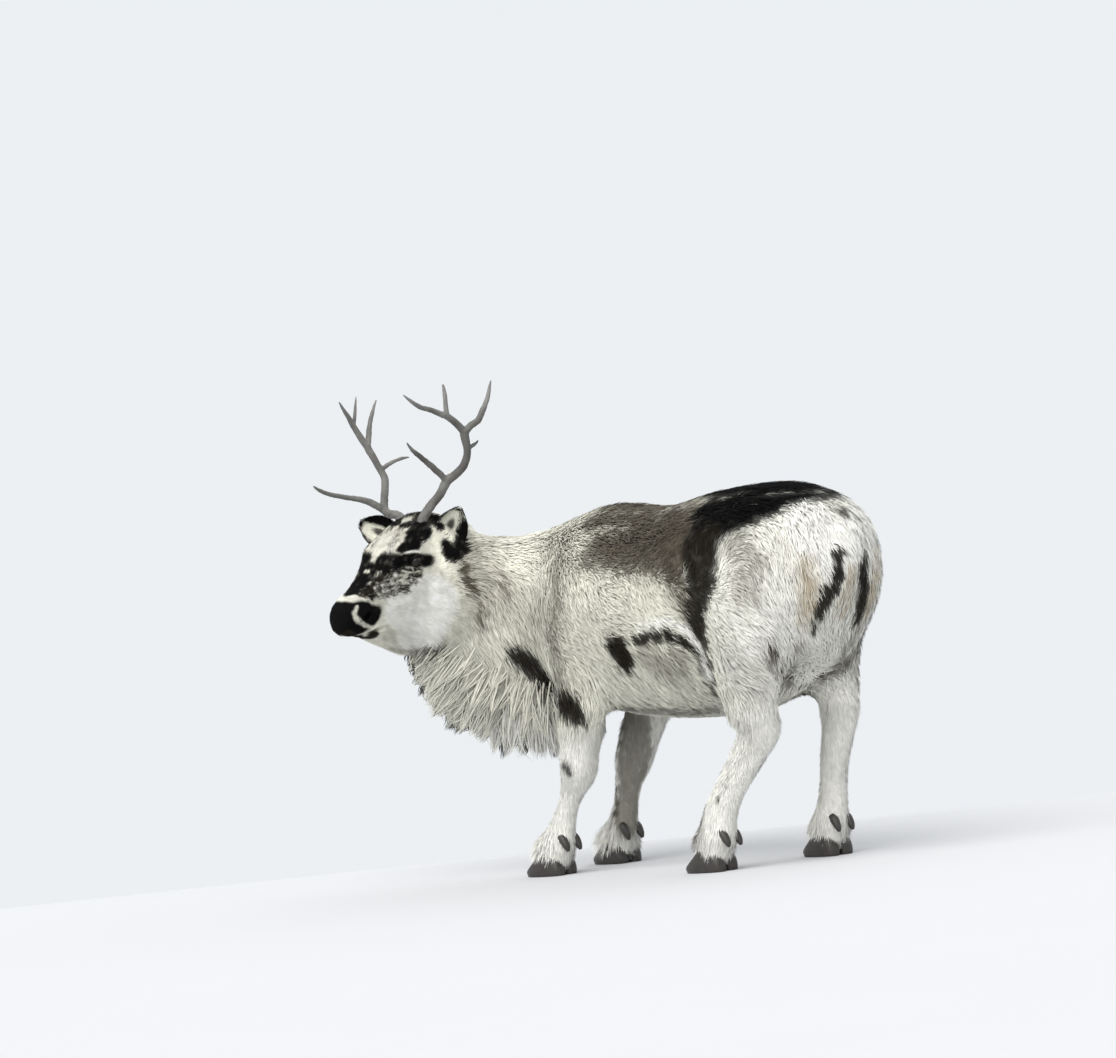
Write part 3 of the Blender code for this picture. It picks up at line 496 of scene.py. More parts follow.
@dataclass(frozen=True)
class HeadFrame:
    """The head's own axes at the poll: forward to the nose, to its left, and up."""

    poll: Point = (-0.195, -0.240, 0.801)
    pitch: float = math.radians(25)
    tilt: float = math.radians(6)

    def axes(self) -> Array:
        """Turn the head's axes: it faces -Y, nods by pitch and leans by tilt.

        Returns:
            Forward, left and up, one a row.
        """
        forward = np.array([0.0, -math.cos(self.pitch), -math.sin(self.pitch)])
        left = np.array([1.0, 0.0, 0.0])
        up = np.array([0.0, -math.sin(self.pitch), math.cos(self.pitch)])
        leaned_left = left * math.cos(self.tilt) - up * math.sin(self.tilt)
        leaned_up = up * math.cos(self.tilt) + left * math.sin(self.tilt)
        return np.stack([forward, leaned_left, leaned_up])

    def to_body(self, local: Array) -> Array:
        """Turn head places into body places."""
        return np.asarray(local, float) @ self.axes() + np.array(self.poll)

    def to_head(self, points: Array) -> Array:
        """Turn body places into head places."""
        return (np.asarray(points, float) - np.array(self.poll)) @ self.axes().T


HEAD = HeadFrame()


EYE_AT = np.array([0.091, 0.067, -0.054])
EYE_OUT = np.array([0.44, 0.88, 0.16])
EYE_RADIUS = 0.015


@dataclass(frozen=True)
class Magnifier:
    """Spreads space round the head, so that an even voxel grid gives it finer faces.

    A distance from the middle grows by the gain up to the radius, and by as much past it.
    """

    middle: Array
    radius: float = 0.225
    gain: float = 3.2

    def spread(self, points: Array, back: bool = False) -> Array:
        """Move points outwards from the middle, or back to their true places.

        Args:
            points: places, one a row.
            back: whether to move them back.

        Returns:
            The moved places.
        """
        run = points - self.middle
        far = np.linalg.norm(run, axis=1, keepdims=True)
        rim = self.radius * self.gain
        if back:
            out = np.where(far < rim, far / self.gain, far - rim + self.radius)
        else:
            out = np.where(far < self.radius, far * self.gain, rim + far - self.radius)
        return self.middle + run / np.maximum(far, 1e-9) * out


TRUNK: List[Row] = metres([
    (896, 0, 624, 46, 80, 40), (885, 0, 623, 104, 116, 78), (860, 0, 622, 146, 150, 118),
    (822, 0, 620, 171, 174, 152), (760, 0, 612, 190, 202, 205), (660, 0, 598, 203, 216, 246),
    (550, 0, 578, 206, 226, 262), (450, 0, 566, 205, 220, 256), (350, 0, 562, 204, 220, 248),
    (250, 0, 562, 200, 230, 238), (170, 0, 562, 190, 241, 220), (90, 0, 564, 172, 230, 190),
    (25, -12, 575, 152, 198, 185), (-50, -40, 580, 134, 169, 190),
    (-118, -90, 600, 120, 154, 190), (-165, -150, 637, 107, 142, 180),
    (-188, -205, 680, 95, 122, 165), (-200, -245, 690, 80, 100, 140),
])
LEGS: Dict[str, List[Row]] = {
    "fore_left": metres([
        (170, -110, 640, 60, 85, 85), (170, -125, 520, 66, 105, 105), (192, -135, 420, 58, 85, 85),
        (172, -137, 330, 50, 62, 64), (157, -138, 275, 45, 50, 52), (148, -140, 225, 43, 46, 46),
        (128, -140, 190, 32, 36, 34), (108, -141, 155, 25, 27, 28), (87, -142, 118, 27, 29, 33),
        (70, -143, 88, 31, 35, 40), (52, -145, 60, 35, 42, 44), (40, -145, 36, 36, 46, 42),
    ]),
    "fore_right": metres([
        (150, 110, 640, 60, 85, 85), (150, 118, 520, 66, 105, 105), (155, 110, 420, 58, 80, 85),
        (127, 95, 330, 50, 56, 60), (104, 86, 270, 46, 50, 52), (84, 82, 222, 44, 48, 46),
        (66, 80, 185, 35, 39, 38), (52, 80, 150, 31, 34, 34), (40, 80, 115, 31, 34, 36),
        (28, 80, 85, 33, 37, 40), (16, 80, 60, 36, 42, 44), (6, 80, 36, 37, 46, 42),
    ]),
    "hind_left": metres([
        (720, -95, 700, 85, 105, 95), (728, -120, 590, 88, 125, 100), (720, -132, 490, 80, 120, 88),
        (702, -133, 410, 66, 96, 80), (686, -122, 345, 52, 76, 74), (686, -112, 300, 44, 56, 66),
        (668, -114, 262, 38, 46, 52), (640, -124, 215, 35, 42, 42), (610, -136, 170, 34, 40, 40),
        (586, -143, 128, 35, 41, 44), (572, -147, 90, 36, 42, 48), (560, -149, 60, 37, 44, 46),
        (552, -150, 36, 37, 46, 42),
    ]),
    "hind_right": metres([
        (715, 85, 700, 78, 105, 85), (712, 100, 590, 76, 118, 74), (708, 110, 490, 68, 108, 68),
        (702, 118, 410, 57, 84, 62), (700, 119, 350, 48, 62, 58), (702, 116, 300, 42, 48, 52),
        (692, 114, 255, 35, 40, 44), (678, 114, 205, 32, 37, 37), (667, 115, 160, 31, 36, 36),
        (658, 115, 120, 32, 36, 40), (648, 115, 88, 34, 39, 45), (638, 115, 60, 36, 44, 45),
        (632, 115, 36, 37, 46, 42),
    ]),
}
TAIL: List[Row] = metres([
    (852, 0, 738, 28, 18, 22), (884, 0, 722, 38, 20, 22), (903, 0, 690, 45, 20, 20),
    (909, 0, 648, 41, 17, 16), (905, 0, 606, 24, 10, 10), (902, 0, 588, 7, 4, 4),
])
MANE: List[Row] = metres([
    (-205, -222, 560, 40, 60, 50), (-186, -182, 520, 56, 70, 95), (-156, -142, 470, 70, 80, 125),
    (-112, -98, 425, 80, 90, 132), (-50, -50, 402, 85, 90, 132), (10, -25, 402, 80, 90, 120),
    (50, -10, 425, 58, 80, 70),
])
SKULL: List[Row] = metres([
    (-105, 0, -110, 60, 50, 70), (-60, 0, -100, 80, 82, 135), (-10, 0, -92, 85, 100, 170),
    (40, 0, -90, 84, 101, 186), (90, 0, -92, 79, 93, 190), (135, 0, -94, 67, 79, 182),
    (180, 0, -97, 54, 62, 155), (220, 0, -99, 45, 54, 102), (255, 0, -99, 42, 50, 56),
    (282, 0, -99, 38, 44, 36), (300, 0, -97, 29, 33, 22), (308, 0, -95, 13, 17, 10),
])


class Line:
    """A curved line with a place and a direction for any point near it."""

    def __init__(self, rows: Sequence[Row], hint: Point, steps: int = 8) -> None:
        """Sample the line.

        Args:
            rows: the line's points first, with any sizes after.
            hint: rough upward direction.
            steps: samples a row.
        """
        self.rows = smooth_rows(rows, steps)
        self.points = self.rows[:, :3]
        self.tangents, self.upward, self.sideways = ring_frames(self.points, hint)
        steps_run = np.linalg.norm(np.diff(self.points, axis=0), axis=1)
        self.run = np.concatenate([[0.0], np.cumsum(steps_run)])

    def nearest(self, points: Array) -> Array:
        """Find the sample of the line nearest to each point, by least squared distance.

        Args:
            points: places, one a row.

        Returns:
            The sample's number for each.
        """
        found = np.zeros(len(points), np.int64)
        size = 20000
        for start in range(0, len(points), size):
            block = points[start:start + size]
            far = ((block[:, None, :] - self.points[None]) ** 2).sum(-1)
            found[start:start + size] = far.argmin(1)
        return found

    def angle(self, points: Array, at: Array) -> Array:
        """Find the turn of each point about the line, from sideways towards upward."""
        off = points - self.points[at]
        return np.arctan2((off * self.upward[at]).sum(1), (off * self.sideways[at]).sum(1))


TRUNK_LINE = Line(TRUNK, UPWARDS)
MANE_LINE = Line(MANE, UPWARDS)
LEG_LINES = {name: Line(rows, (-1.0, 0.0, 0.0)) for name, rows in LEGS.items()}


# Where the coat is long, how it lies, and its parts


PARTS: Dict[str, Tuple[Tuple[str, float, float], ...]] = {
    "neck": (("x", 0.16, -0.02),),
    "behind chest": (("x", -0.02, 0.06),),
    "shin": (("z", 0.40, 0.27),),
    "low shin": (("z", 0.27, 0.12),),
    "pastern": (("z", 0.11, 0.075),),
    "cheek": (("w", -0.105, -0.165), ("u", 0.245, 0.15)),
    "forelock": (("u", 0.10, 0.02), ("w", -0.06, -0.01)),
    "nape": (("u", 0.045, -0.04),),
    "jaw hair": (("w", -0.105, -0.16), ("u", 0.10, 0.03)),
    "nose": (("u", 0.20, 0.245),),
    "tail": (("x", 0.850, 0.880), ("side", 0.085, 0.055), ("z", 0.56, 0.60)),
    "foot": (("z", 0.115, 0.085),),
    "flank": (("z", 0.80, 0.66),),
    "rump": (("x", 0.72, 0.86), ("z", 0.80, 0.72)),
    "chest": (("x", 0.16, 0.02), ("z", 0.72, 0.55)),
    "underside": (("z", 0.50, 0.40),),
    "belly": (("z", 0.40, 0.34),),
    "leg": (("z", 0.42, 0.33),),
    "muzzle side": (("v", 0.0, 0.03), ("u", 0.20, 0.30)),
    "low face": (("w", -0.07, -0.16),),
    "high face": (("w", -0.06, 0.0),),
    "trunk": (("z", 0.31, 0.40),),
    "poll": (("w", 0.02, -0.04),),
    "jaw joint": (("w", -0.11, -0.15), ("u", 0.185, 0.135)),
    "chest front": (("z", 0.40, 0.50),),
    "jaw": (("w", -0.13, -0.16), ("u", 0.17, 0.13), ("u", -0.10, -0.04),
            ("z", 0.38, 0.46), ("v", 0.20, 0.15)),
    "snow low": (("z", 0.36, 0.26),),
    "snow rear": (("x", 0.60, 0.74),),
}
MIDRIFF = 0.4


class Places:
    """Points with their ways: x, z and side in the body, and u, v and w in the head.

    Side and v are taken without their signs, so both sides of the animal count alike.
    """

    def __init__(self, points: Array) -> None:
        """Work out every way of the points.

        Args:
            points: places in the body, one a row.
        """
        u, v, w = HEAD.to_head(points).T
        self.ways = {"x": points[:, 0], "side": np.abs(points[:, 1]), "z": points[:, 2],
                     "u": u, "v": np.abs(v), "w": w}

    def within(self, part: str) -> Array:
        """Give the share of a soft-edged part: the product of an ease along each of its ways.

        Args:
            part: a name from PARTS.

        Returns:
            Shares from 0 to 1.
        """
        return np.prod([ease(self.ways[way], low, high) for way, low, high in PARTS[part]], axis=0)


class Zone(Enum):
    """Parts of the coat, each grown as a piece of its own."""

    FACE = 0
    CROWN = 1
    NECK = 2
    THROAT = 3
    SHOULDER = 4
    BARREL = 5
    FLANK = 6
    RUMP = 7
    THIGH = 8
    FORE_LEGS = 9
    HIND_LEGS = 10
    TAIL = 11
    EARS = 12


@dataclass(frozen=True)
class CoatPlan:
    """The coat's length and lie over the whole body."""

    body_length: float = 0.042
    neck_length: float = 0.052
    cheek_length: float = 0.028
    face_length: float = 0.009
    nose_length: float = 0.0045
    shin_length: float = 0.01755
    low_shin_less: float = 0.25
    pastern_more: float = 0.75
    tufts_of_face: Tuple[Tuple[str, float], ...] = (
        ("forelock", 0.010), ("nape", 0.010), ("jaw hair", 0.014))
    eye_less: float = 0.45
    eye_ends: Tuple[float, float] = (0.035, 0.015)
    ear_less: float = 0.62
    ear_ends: Tuple[float, float] = (0.055, 0.025)
    depth_share: float = 0.42
    kept_size: float = 0.85
    level_droop: float = 0.10
    droops: Tuple[Tuple[str, float], ...] = (
        ("flank", 0.55), ("rump", 1.6), ("chest", 0.9), ("underside", 0.8))
    belly_span: Tuple[float, float] = (0.24, 0.62)
    between_legs: Tuple[float, float] = (0.26, 0.56)
    flank_from: float = 0.50
    rump_from: float = 0.70
    thigh_under: float = 0.56
    shoulder_to: float = 0.25
    legs_under: float = 0.335
    shins_under: float = 0.25
    face_from: float = 0.06
    head_plane: Point = (-0.176, -0.176, 0.720)
    head_way: Point = (0.0, -0.950, 0.310)

    def head_share(self, points: Array) -> Array:
        """Share of a place that belongs to the head: 1 in front of its plane, 0 behind.

        Args:
            points: places, one a row.

        Returns:
            Shares from 0 to 1.
        """
        front = (points - np.array(self.head_plane)) @ unit(np.array(self.head_way))
        local = HEAD.to_head(points)
        return ease(front, -0.045, 0.015) * ease(local[:, 0], -0.075, -0.02)

    def length(self, points: Array) -> Array:
        """Give hair length: the body's, blended to the neck's, legs' and head's own.

        Args:
            points: places near the surface.

        Returns:
            Lengths in metres.
        """
        near = Places(points)
        long = np.full(len(points), self.body_length)
        long += (self.neck_length - self.body_length) * near.within("neck")
        low = 1.0 - self.low_shin_less * near.within("low shin")
        low = low + self.pastern_more * near.within("pastern")
        shin = near.within("shin")
        shin = shin * np.where(points[:, 0] > MIDRIFF, 1.0, near.within("behind chest"))
        long = long * (1 - shin) + self.shin_length * low * shin
        cheek = near.within("cheek")
        face = self.face_length + (self.cheek_length - self.face_length) * cheek
        for part, more in self.tufts_of_face:
            face += more * near.within(part)
        face += (self.nose_length - self.face_length) * near.within("nose") * (1 - cheek)
        u, v, w = (near.ways[way] for way in "uvw")
        eye = np.hypot(u - EYE_AT[0], w - EYE_AT[2])
        face *= 1.0 - self.eye_less * ease(eye, *self.eye_ends) * (v > 0.03)
        share = self.head_share(points)
        long = long * (1 - share) + face * share
        local = HEAD.to_head(points)
        for ear in EARS:
            far = np.linalg.norm(local - np.array(ear.base), axis=1)
            long = long * (1.0 - self.ear_less * ease(far, *self.ear_ends))
        return long

    def depth(self, points: Array) -> Array:
        """Give how deep the skin lies under the coat: a share of the hair's length.

        Tail and feet keep nearly their full size, so that no gap opens beside them.

        Args:
            points: places near the surface.

        Returns:
            Depths in metres.
        """
        near = Places(points)
        kept = (1 - self.kept_size * near.within("tail")) * (
            1 - self.kept_size * near.within("foot"))
        return self.depth_share * self.length(points) * kept

    def lie(self, points: Array) -> Array:
        """Give the way that the hair runs, before it is laid on the surface.

        On the trunk it runs back along the body's line and droops, more on the rump.
        On the head it runs from the nose back, and on the legs straight down.

        Args:
            points: places near the surface.

        Returns:
            Unit vectors.
        """
        near = Places(points)
        x = points[:, 0]
        back = -TRUNK_LINE.tangents[TRUNK_LINE.nearest(points)]
        droop = np.full(len(points), self.level_droop)
        for part, more in self.droops:
            droop += more * near.within(part)
        low, high = self.belly_span
        droop *= 1.0 - 0.5 * near.within("belly") * (x > low) * (x < high)
        flow = unit(back - droop[:, None] * np.array(UPWARDS))
        low, high = self.between_legs
        leg = near.within("leg") * np.where((x > low) & (x < high), 0.0, 1.0)
        flow = flow * (1 - leg[:, None]) + leg[:, None] * np.array([0.10, 0.0, -1.0])
        run = np.stack([
            np.full(len(points), -1.0),
            0.35 * np.sign(HEAD.to_head(points)[:, 1]) * near.within("muzzle side"),
            -0.15 - 0.75 * near.within("low face") + 0.25 * near.within("high face"),
        ], axis=1)
        share = self.head_share(points)[:, None]
        return unit(flow * (1 - share) + (unit(run) @ HEAD.axes()) * share)

    def zone(self, points: Array) -> Array:
        """Name the part of the coat that each place belongs to, as Zone values.

        Args:
            points: places near the skin.

        Returns:
            Whole numbers, each the value of a Zone.
        """
        x, y, z = points.T
        local = HEAD.to_head(points)
        found = np.full(len(points), Zone.BARREL.value)
        found[x > self.flank_from] = Zone.FLANK.value
        found[x > self.rump_from] = Zone.RUMP.value
        found[(x > self.flank_from) & (z < self.thigh_under)] = Zone.THIGH.value
        found[x < self.shoulder_to] = Zone.SHOULDER.value
        found[x < 0.02 + 0.35 * y] = Zone.NECK.value
        found[(x < 0.07) & (z < 0.47 + 0.35 * np.clip(-0.05 - x, 0, 0.2))] = Zone.THROAT.value
        legs = (z < self.legs_under) & ((x > 0.60) | ((x < 0.24) & (x > -0.02)))
        legs |= z < self.shins_under
        found[legs & (x < MIDRIFF)] = Zone.FORE_LEGS.value
        found[legs & (x > MIDRIFF)] = Zone.HIND_LEGS.value
        share = self.head_share(points)
        found[share > 0.5] = Zone.CROWN.value
        found[(share > 0.5) & (local[:, 0] > self.face_from)] = Zone.FACE.value
        found[(x > 0.872) & (np.abs(y) < 0.05) & (z > 0.6)] = Zone.TAIL.value
        return found

    def unwrap(self, points: Array, zone: Zone) -> Array:
        """Lay a zone's places out flat by the skin's own shape, as UV from 0 to 1.

        Trunk and neck unroll round the body's line, the head round its own axis, and each
        leg round its line, with the legs side by side.

        Args:
            points: root places.
            zone: the part of the coat.

        Returns:
            UV places, two a row.
        """
        if zone in (Zone.FACE, Zone.CROWN, Zone.EARS):
            local = HEAD.to_head(points)
            flat = np.stack([local[:, 0], np.arctan2(local[:, 1], -0.095 - local[:, 2])], axis=1)
        elif zone in (Zone.FORE_LEGS, Zone.HIND_LEGS):
            flat = np.zeros((len(points), 2))
            names = [name for name in LEG_LINES if name.startswith(zone.name[:4].lower())]
            for number, name in enumerate(names):
                mine = (points[:, 1] < 0) == name.endswith("left")
                line = LEG_LINES[name]
                at = line.nearest(points[mine])
                turn = line.angle(points[mine], at)
                flat[mine] = np.stack([turn + 7.0 * number, points[mine, 2]], axis=1)
        else:
            at = TRUNK_LINE.nearest(points)
            flat = np.stack([TRUNK_LINE.run[at], TRUNK_LINE.angle(points, at)], axis=1)
            flat[:, 0] += ((points - TRUNK_LINE.points[at]) * TRUNK_LINE.tangents[at]).sum(1)
        low, high = flat.min(0), flat.max(0)
        return 0.004 + 0.988 * (flat - low) / np.maximum(high - low, 1e-6)


COAT = CoatPlan()


# Colours and markings


class Tint(Enum):
    """Colours of the coat, as red, green and blue from 0 to 255 on screen."""

    WHITE = (246, 245, 239)
    CREAM = (229, 228, 213)
    PALE = (205, 203, 191)
    GREY = (152, 149, 139)
    BROWN = (84, 78, 68)
    DARK = (31, 27, 22)
    BLACK = (9, 8, 8)
    TAN = (182, 167, 140)

    def linear(self) -> Array:
        """Turn the screen colour into linear light by the usual curve."""
        share = np.array(self.value) / 255.0
        return np.where(share <= 0.04045, share / 12.92, ((share + 0.055) / 1.055) ** 2.4)


@dataclass(frozen=True)
class Marking:
    """One patch or stripe: a chain of balls of colour, in millimetres, with a soft edge."""

    name: str
    tint: Tint
    soft: float
    strength: float
    fleck: float
    mirrored: bool
    path: Tuple[Row, ...]
    on_head: bool = False

    def share(self, points: Array) -> Array:
        """Give the patch's share: 1 within the chain, falling to 0 over the soft edge.

        Distance is to the nearest span of the chain, less the radius there.

        Args:
            points: places on the outer surface of the coat, in the frame of the chain.

        Returns:
            Shares from 0 to 1.
        """
        path = np.array(metres(self.path))
        gap = chain_gap(points, path[:, :3], path[:, 3])
        return ease(gap, self.soft * 0.6, -self.soft * 0.4)


BODY_MARKS = (
    ("thigh white", Tint.WHITE, 0.068, 0.45, 0.7, True,
     ((794, -180, 629, 53), (815, -162, 542, 83), (779, -176, 441, 83))),
    ("cream flank", Tint.CREAM, 0.068, 0.9, 0.5, True,
     ((469, -204, 585, 48), (595, -205, 589, 48))),
    ("neck cream", Tint.CREAM, 0.053, 0.9, 0.5, True,
     ((-3, -134, 684, 26), (35, -156, 601, 33), (37, -152, 514, 31))),
    ("thigh fade", Tint.GREY, 0.066, 0.62, 0.6, True,
     ((749, -181, 694, 33), (790, -180, 646, 39), (778, -196, 579, 31))),
    ("thigh low", Tint.GREY, 0.066, 0.42, 0.45, True,
     ((738, -203, 446, 26), (757, -170, 379, 28), (797, -156, 459, 18))),
    ("hind shade", Tint.GREY, 0.053, 0.35, 0.4, True,
     ((690, -152, 278, 26),)),
    ("rear edge", Tint.GREY, 0.044, 0.6, 0.6, True,
     ((891, 74, 621, 18), (878, 64, 538, 22), (772, 125, 442, 22))),
    ("rear streaks", Tint.GREY, 0.035, 0.6, 0.6, True,
     ((825, -88, 472, 15), (765, -69, 405, 20))),
    ("withers", Tint.BROWN, 0.088, 0.85, 0.6, True,
     ((60, 0, 774, 35), (180, 0, 801, 53), (320, 0, 784, 66), (460, 0, 790, 70),
      (540, 0, 803, 66))),
    ("far withers", Tint.DARK, 0.044, 0.6, 0.9, True,
     ((160, 0, 802, 20), (300, 0, 786, 20))),
    ("back patch", Tint.BROWN, 0.123, 0.95, 0.6, True,
     ((310, -163, 704, 42), (435, -168, 700, 63), (569, -184, 692, 66))),
    ("back core", Tint.DARK, 0.088, 0.5, 0.6, True,
     ((321, -146, 724, 18), (447, -145, 729, 28), (585, -180, 703, 39))),
    ("back upper", Tint.BROWN, 0.096, 0.85, 0.6, True,
     ((227, -101, 768, 35), (369, -98, 759, 42), (558, -148, 744, 44))),
    ("back join", Tint.BROWN, 0.083, 0.55, 0.5, True,
     ((260, -60, 785, 45), (420, -80, 780, 50), (600, -100, 785, 60))),
    ("saddle ridge", Tint.BLACK, 0.039, 1, 0.6, True,
     ((606, -126, 769, 26), (706, -102, 788, 24), (790, -37, 794, 18))),
    ("saddle", Tint.BLACK, 0.055, 1, 0.6, True,
     ((627, -187, 685, 33), (658, -164, 731, 55), (737, -136, 758, 50), (800, -97, 769, 39),
      (842, -43, 775, 26), (861, 14, 765, 13))),
    ("saddle top", Tint.BLACK, 0.061, 1, 0.6, True,
     ((540, 0, 803, 57), (620, 0, 810, 92), (700, 0, 813, 92), (780, 0, 800, 53))),
    ("band shade", Tint.BROWN, 0.088, 0.75, 0.75, True,
     ((553, -187, 680, 44), (589, -204, 600, 31), (593, -201, 525, 18))),
    ("saddle band", Tint.DARK, 0.053, 0.96, 0.7, True,
     ((652, -188, 683, 53), (659, -201, 617, 44), (635, -202, 555, 33), (621, -190, 481, 28),
      (615, -165, 415, 22))),
    # Painted shadow: a dark line down the crease beside the flank's fold.
    ("flank crease", Tint.DARK, 0.018, 0.85, 0.5, True,
     ((598, -202, 534, 7), (618, -185, 464, 9), (603, -156, 404, 9), (582, -129, 368, 7))),
    ("rump white", Tint.WHITE, 0.044, 0.97, 0.4, True,
     ((877, -75, 715, 53), (890, -53, 664, 70), (925, 12, 667, 53))),
    ("shoulder shade", Tint.GREY, 0.083, 0.55, 0.35, True,
     ((-66, -177, 685, 35), (-7, -162, 604, 53), (89, -165, 567, 53), (21, -139, 469, 35))),
    ("shoulder band", Tint.BROWN, 0.068, 0.5, 0.35, True,
     ((180, -170, 682, 20), (190, -191, 597, 22), (163, -190, 512, 26), (176, -190, 390, 28))),
    ("shoulder front", Tint.GREY, 0.068, 0.5, 0.4, True,
     ((97, -113, 724, 31), (248, -176, 679, 31))),
    ("shoulder stripe", Tint.DARK, 0.061, 0.97, 0.85, True,
     ((-11, -152, 483, 20), (13, -136, 460, 26), (32, -102, 404, 28), (186, -188, 364, 26),
      (207, -182, 341, 18))),
    ("elbow spot", Tint.DARK, 0.048, 1, 0.9, True,
     ((357, -194, 478, 31), (370, -187, 453, 33))),
    ("bulge", Tint.GREY, 0.048, 0.7, 0.6, True,
     ((454, -187, 452, 37), (536, -182, 444, 37))),
    # Painted shadow: a dark arc under the flank's fold.
    ("bulge arc", Tint.DARK, 0.028, 0.9, 0.85, True,
     ((423, -198, 495, 11), (522, -201, 510, 13), (589, -192, 480, 11))),
    # Painted highlight: a white line along the ridge of the flank's fold.
    ("fold arc", Tint.WHITE, 0.018, 0.8, 0.4, True,
     ((445, -202, 524, 7), (529, -204, 535, 9), (593, -199, 517, 9), (624, -186, 470, 9),
      (605, -162, 413, 9))),
    ("neck shade", Tint.GREY, 0.061, 0.62, 0.5, True,
     ((-81, -184, 706, 31), (-44, -178, 629, 44), (-63, -197, 562, 31))),
    ("neck top", Tint.BROWN, 0.044, 0.55, 0.7, True,
     ((-97, -165, 744, 18), (-66, -136, 725, 13))),
    ("neck patch", Tint.BROWN, 0.039, 0.8, 0.95, True,
     ((-81, -199, 685, 15), (-67, -198, 636, 18))),
    ("neck low", Tint.BROWN, 0.035, 0.65, 0.8, True,
     ((-50, -186, 599, 13), (-63, -197, 562, 9))),
    ("neck rear", Tint.BROWN, 0.035, 0.5, 0.7, True,
     ((-25, -152, 665, 11), (-7, -161, 612, 11))),
    ("rump spot", Tint.DARK, 0.022, 0.8, 0.4, True,
     ((898, -1, 736, 11),)),
    ("stain inner", Tint.TAN, 0.044, 0.6, 0.6, True,
     ((883, -104, 634, 20), (881, -97, 571, 26), (849, -94, 509, 20))),
    ("stain outer", Tint.TAN, 0.039, 0.55, 0.6, True,
     ((918, -3, 614, 15), (895, 2, 560, 22), (868, 4, 511, 18))),
    # Painted shadow: the dark crease between the buttocks under the tail.
    ("buttock crease", Tint.DARK, 0.024, 0.9, 0.8, True,
     ((911, -39, 647, 11), (897, -42, 587, 18), (872, -62, 526, 18), (841, -64, 486, 13))),
    ("hock streaks", Tint.GREY, 0.042, 0.7, 0.95, True,
     ((792, -149, 438, 18), (713, -36, 366, 18))),
    ("hock dark", Tint.BROWN, 0.026, 0.6, 0.9, True,
     ((800, -162, 481, 9), (784, -115, 418, 9), (712, -12, 363, 9))),
    ("right hind mark", Tint.BROWN, 0.035, 0.45, 0.6, False,
     ((827, 46, 458, 13), (758, 103, 385, 13))),
    ("right hind lower", Tint.BROWN, 0.035, 0.4, 0.95, False,
     ((717, 76, 324, 13), (712, 77, 295, 11))),
    ("knee spot", Tint.DARK, 0.031, 0.75, 0.7, False,
     ((153, -181, 228, 18),)),
    ("shin edge", Tint.BROWN, 0.022, 0.45, 0.9, False,
     ((630, -161, 205, 7), (604, -173, 150, 7))),
    # Painted shadow: the far fore leg is greyed, and darker still along its front edge.
    ("right fore", Tint.GREY, 0.031, 0.9, 0.8, False,
     ((131, 46, 310, 44), (109, 52, 204, 39), (61, 61, 90, 33))),
    ("right fore edge", Tint.BROWN, 0.026, 0.75, 0.7, False,
     ((81, 51, 292, 13), (33, 61, 183, 13), (34, 50, 108, 11))),
    # Painted shade: the underside of the belly is greyed.
    ("belly", Tint.GREY, 0.044, 0.8, 0.7, True,
     ((274, -82, 338, 20), (528, -78, 329, 20))),
    # Painted shadow: a dark patch under the jaw, at the top of the throat.
    ("throat patch", Tint.DARK, 0.031, 0.9, 0.5, True,
     ((-141, -260, 532, 18), (-170, -252, 496, 20))),
    # Painted shade: grey between the mane's locks and down the chest.
    ("mane grey", Tint.GREY, 0.057, 0.4, 0.4, True,
     ((-162, -218, 415, 22), (-77, -163, 362, 28), (11, -101, 317, 22))),
    ("chest grey", Tint.GREY, 0.048, 0.35, 0.4, True,
     ((-92, -203, 502, 20), (-58, -156, 430, 22))),
)
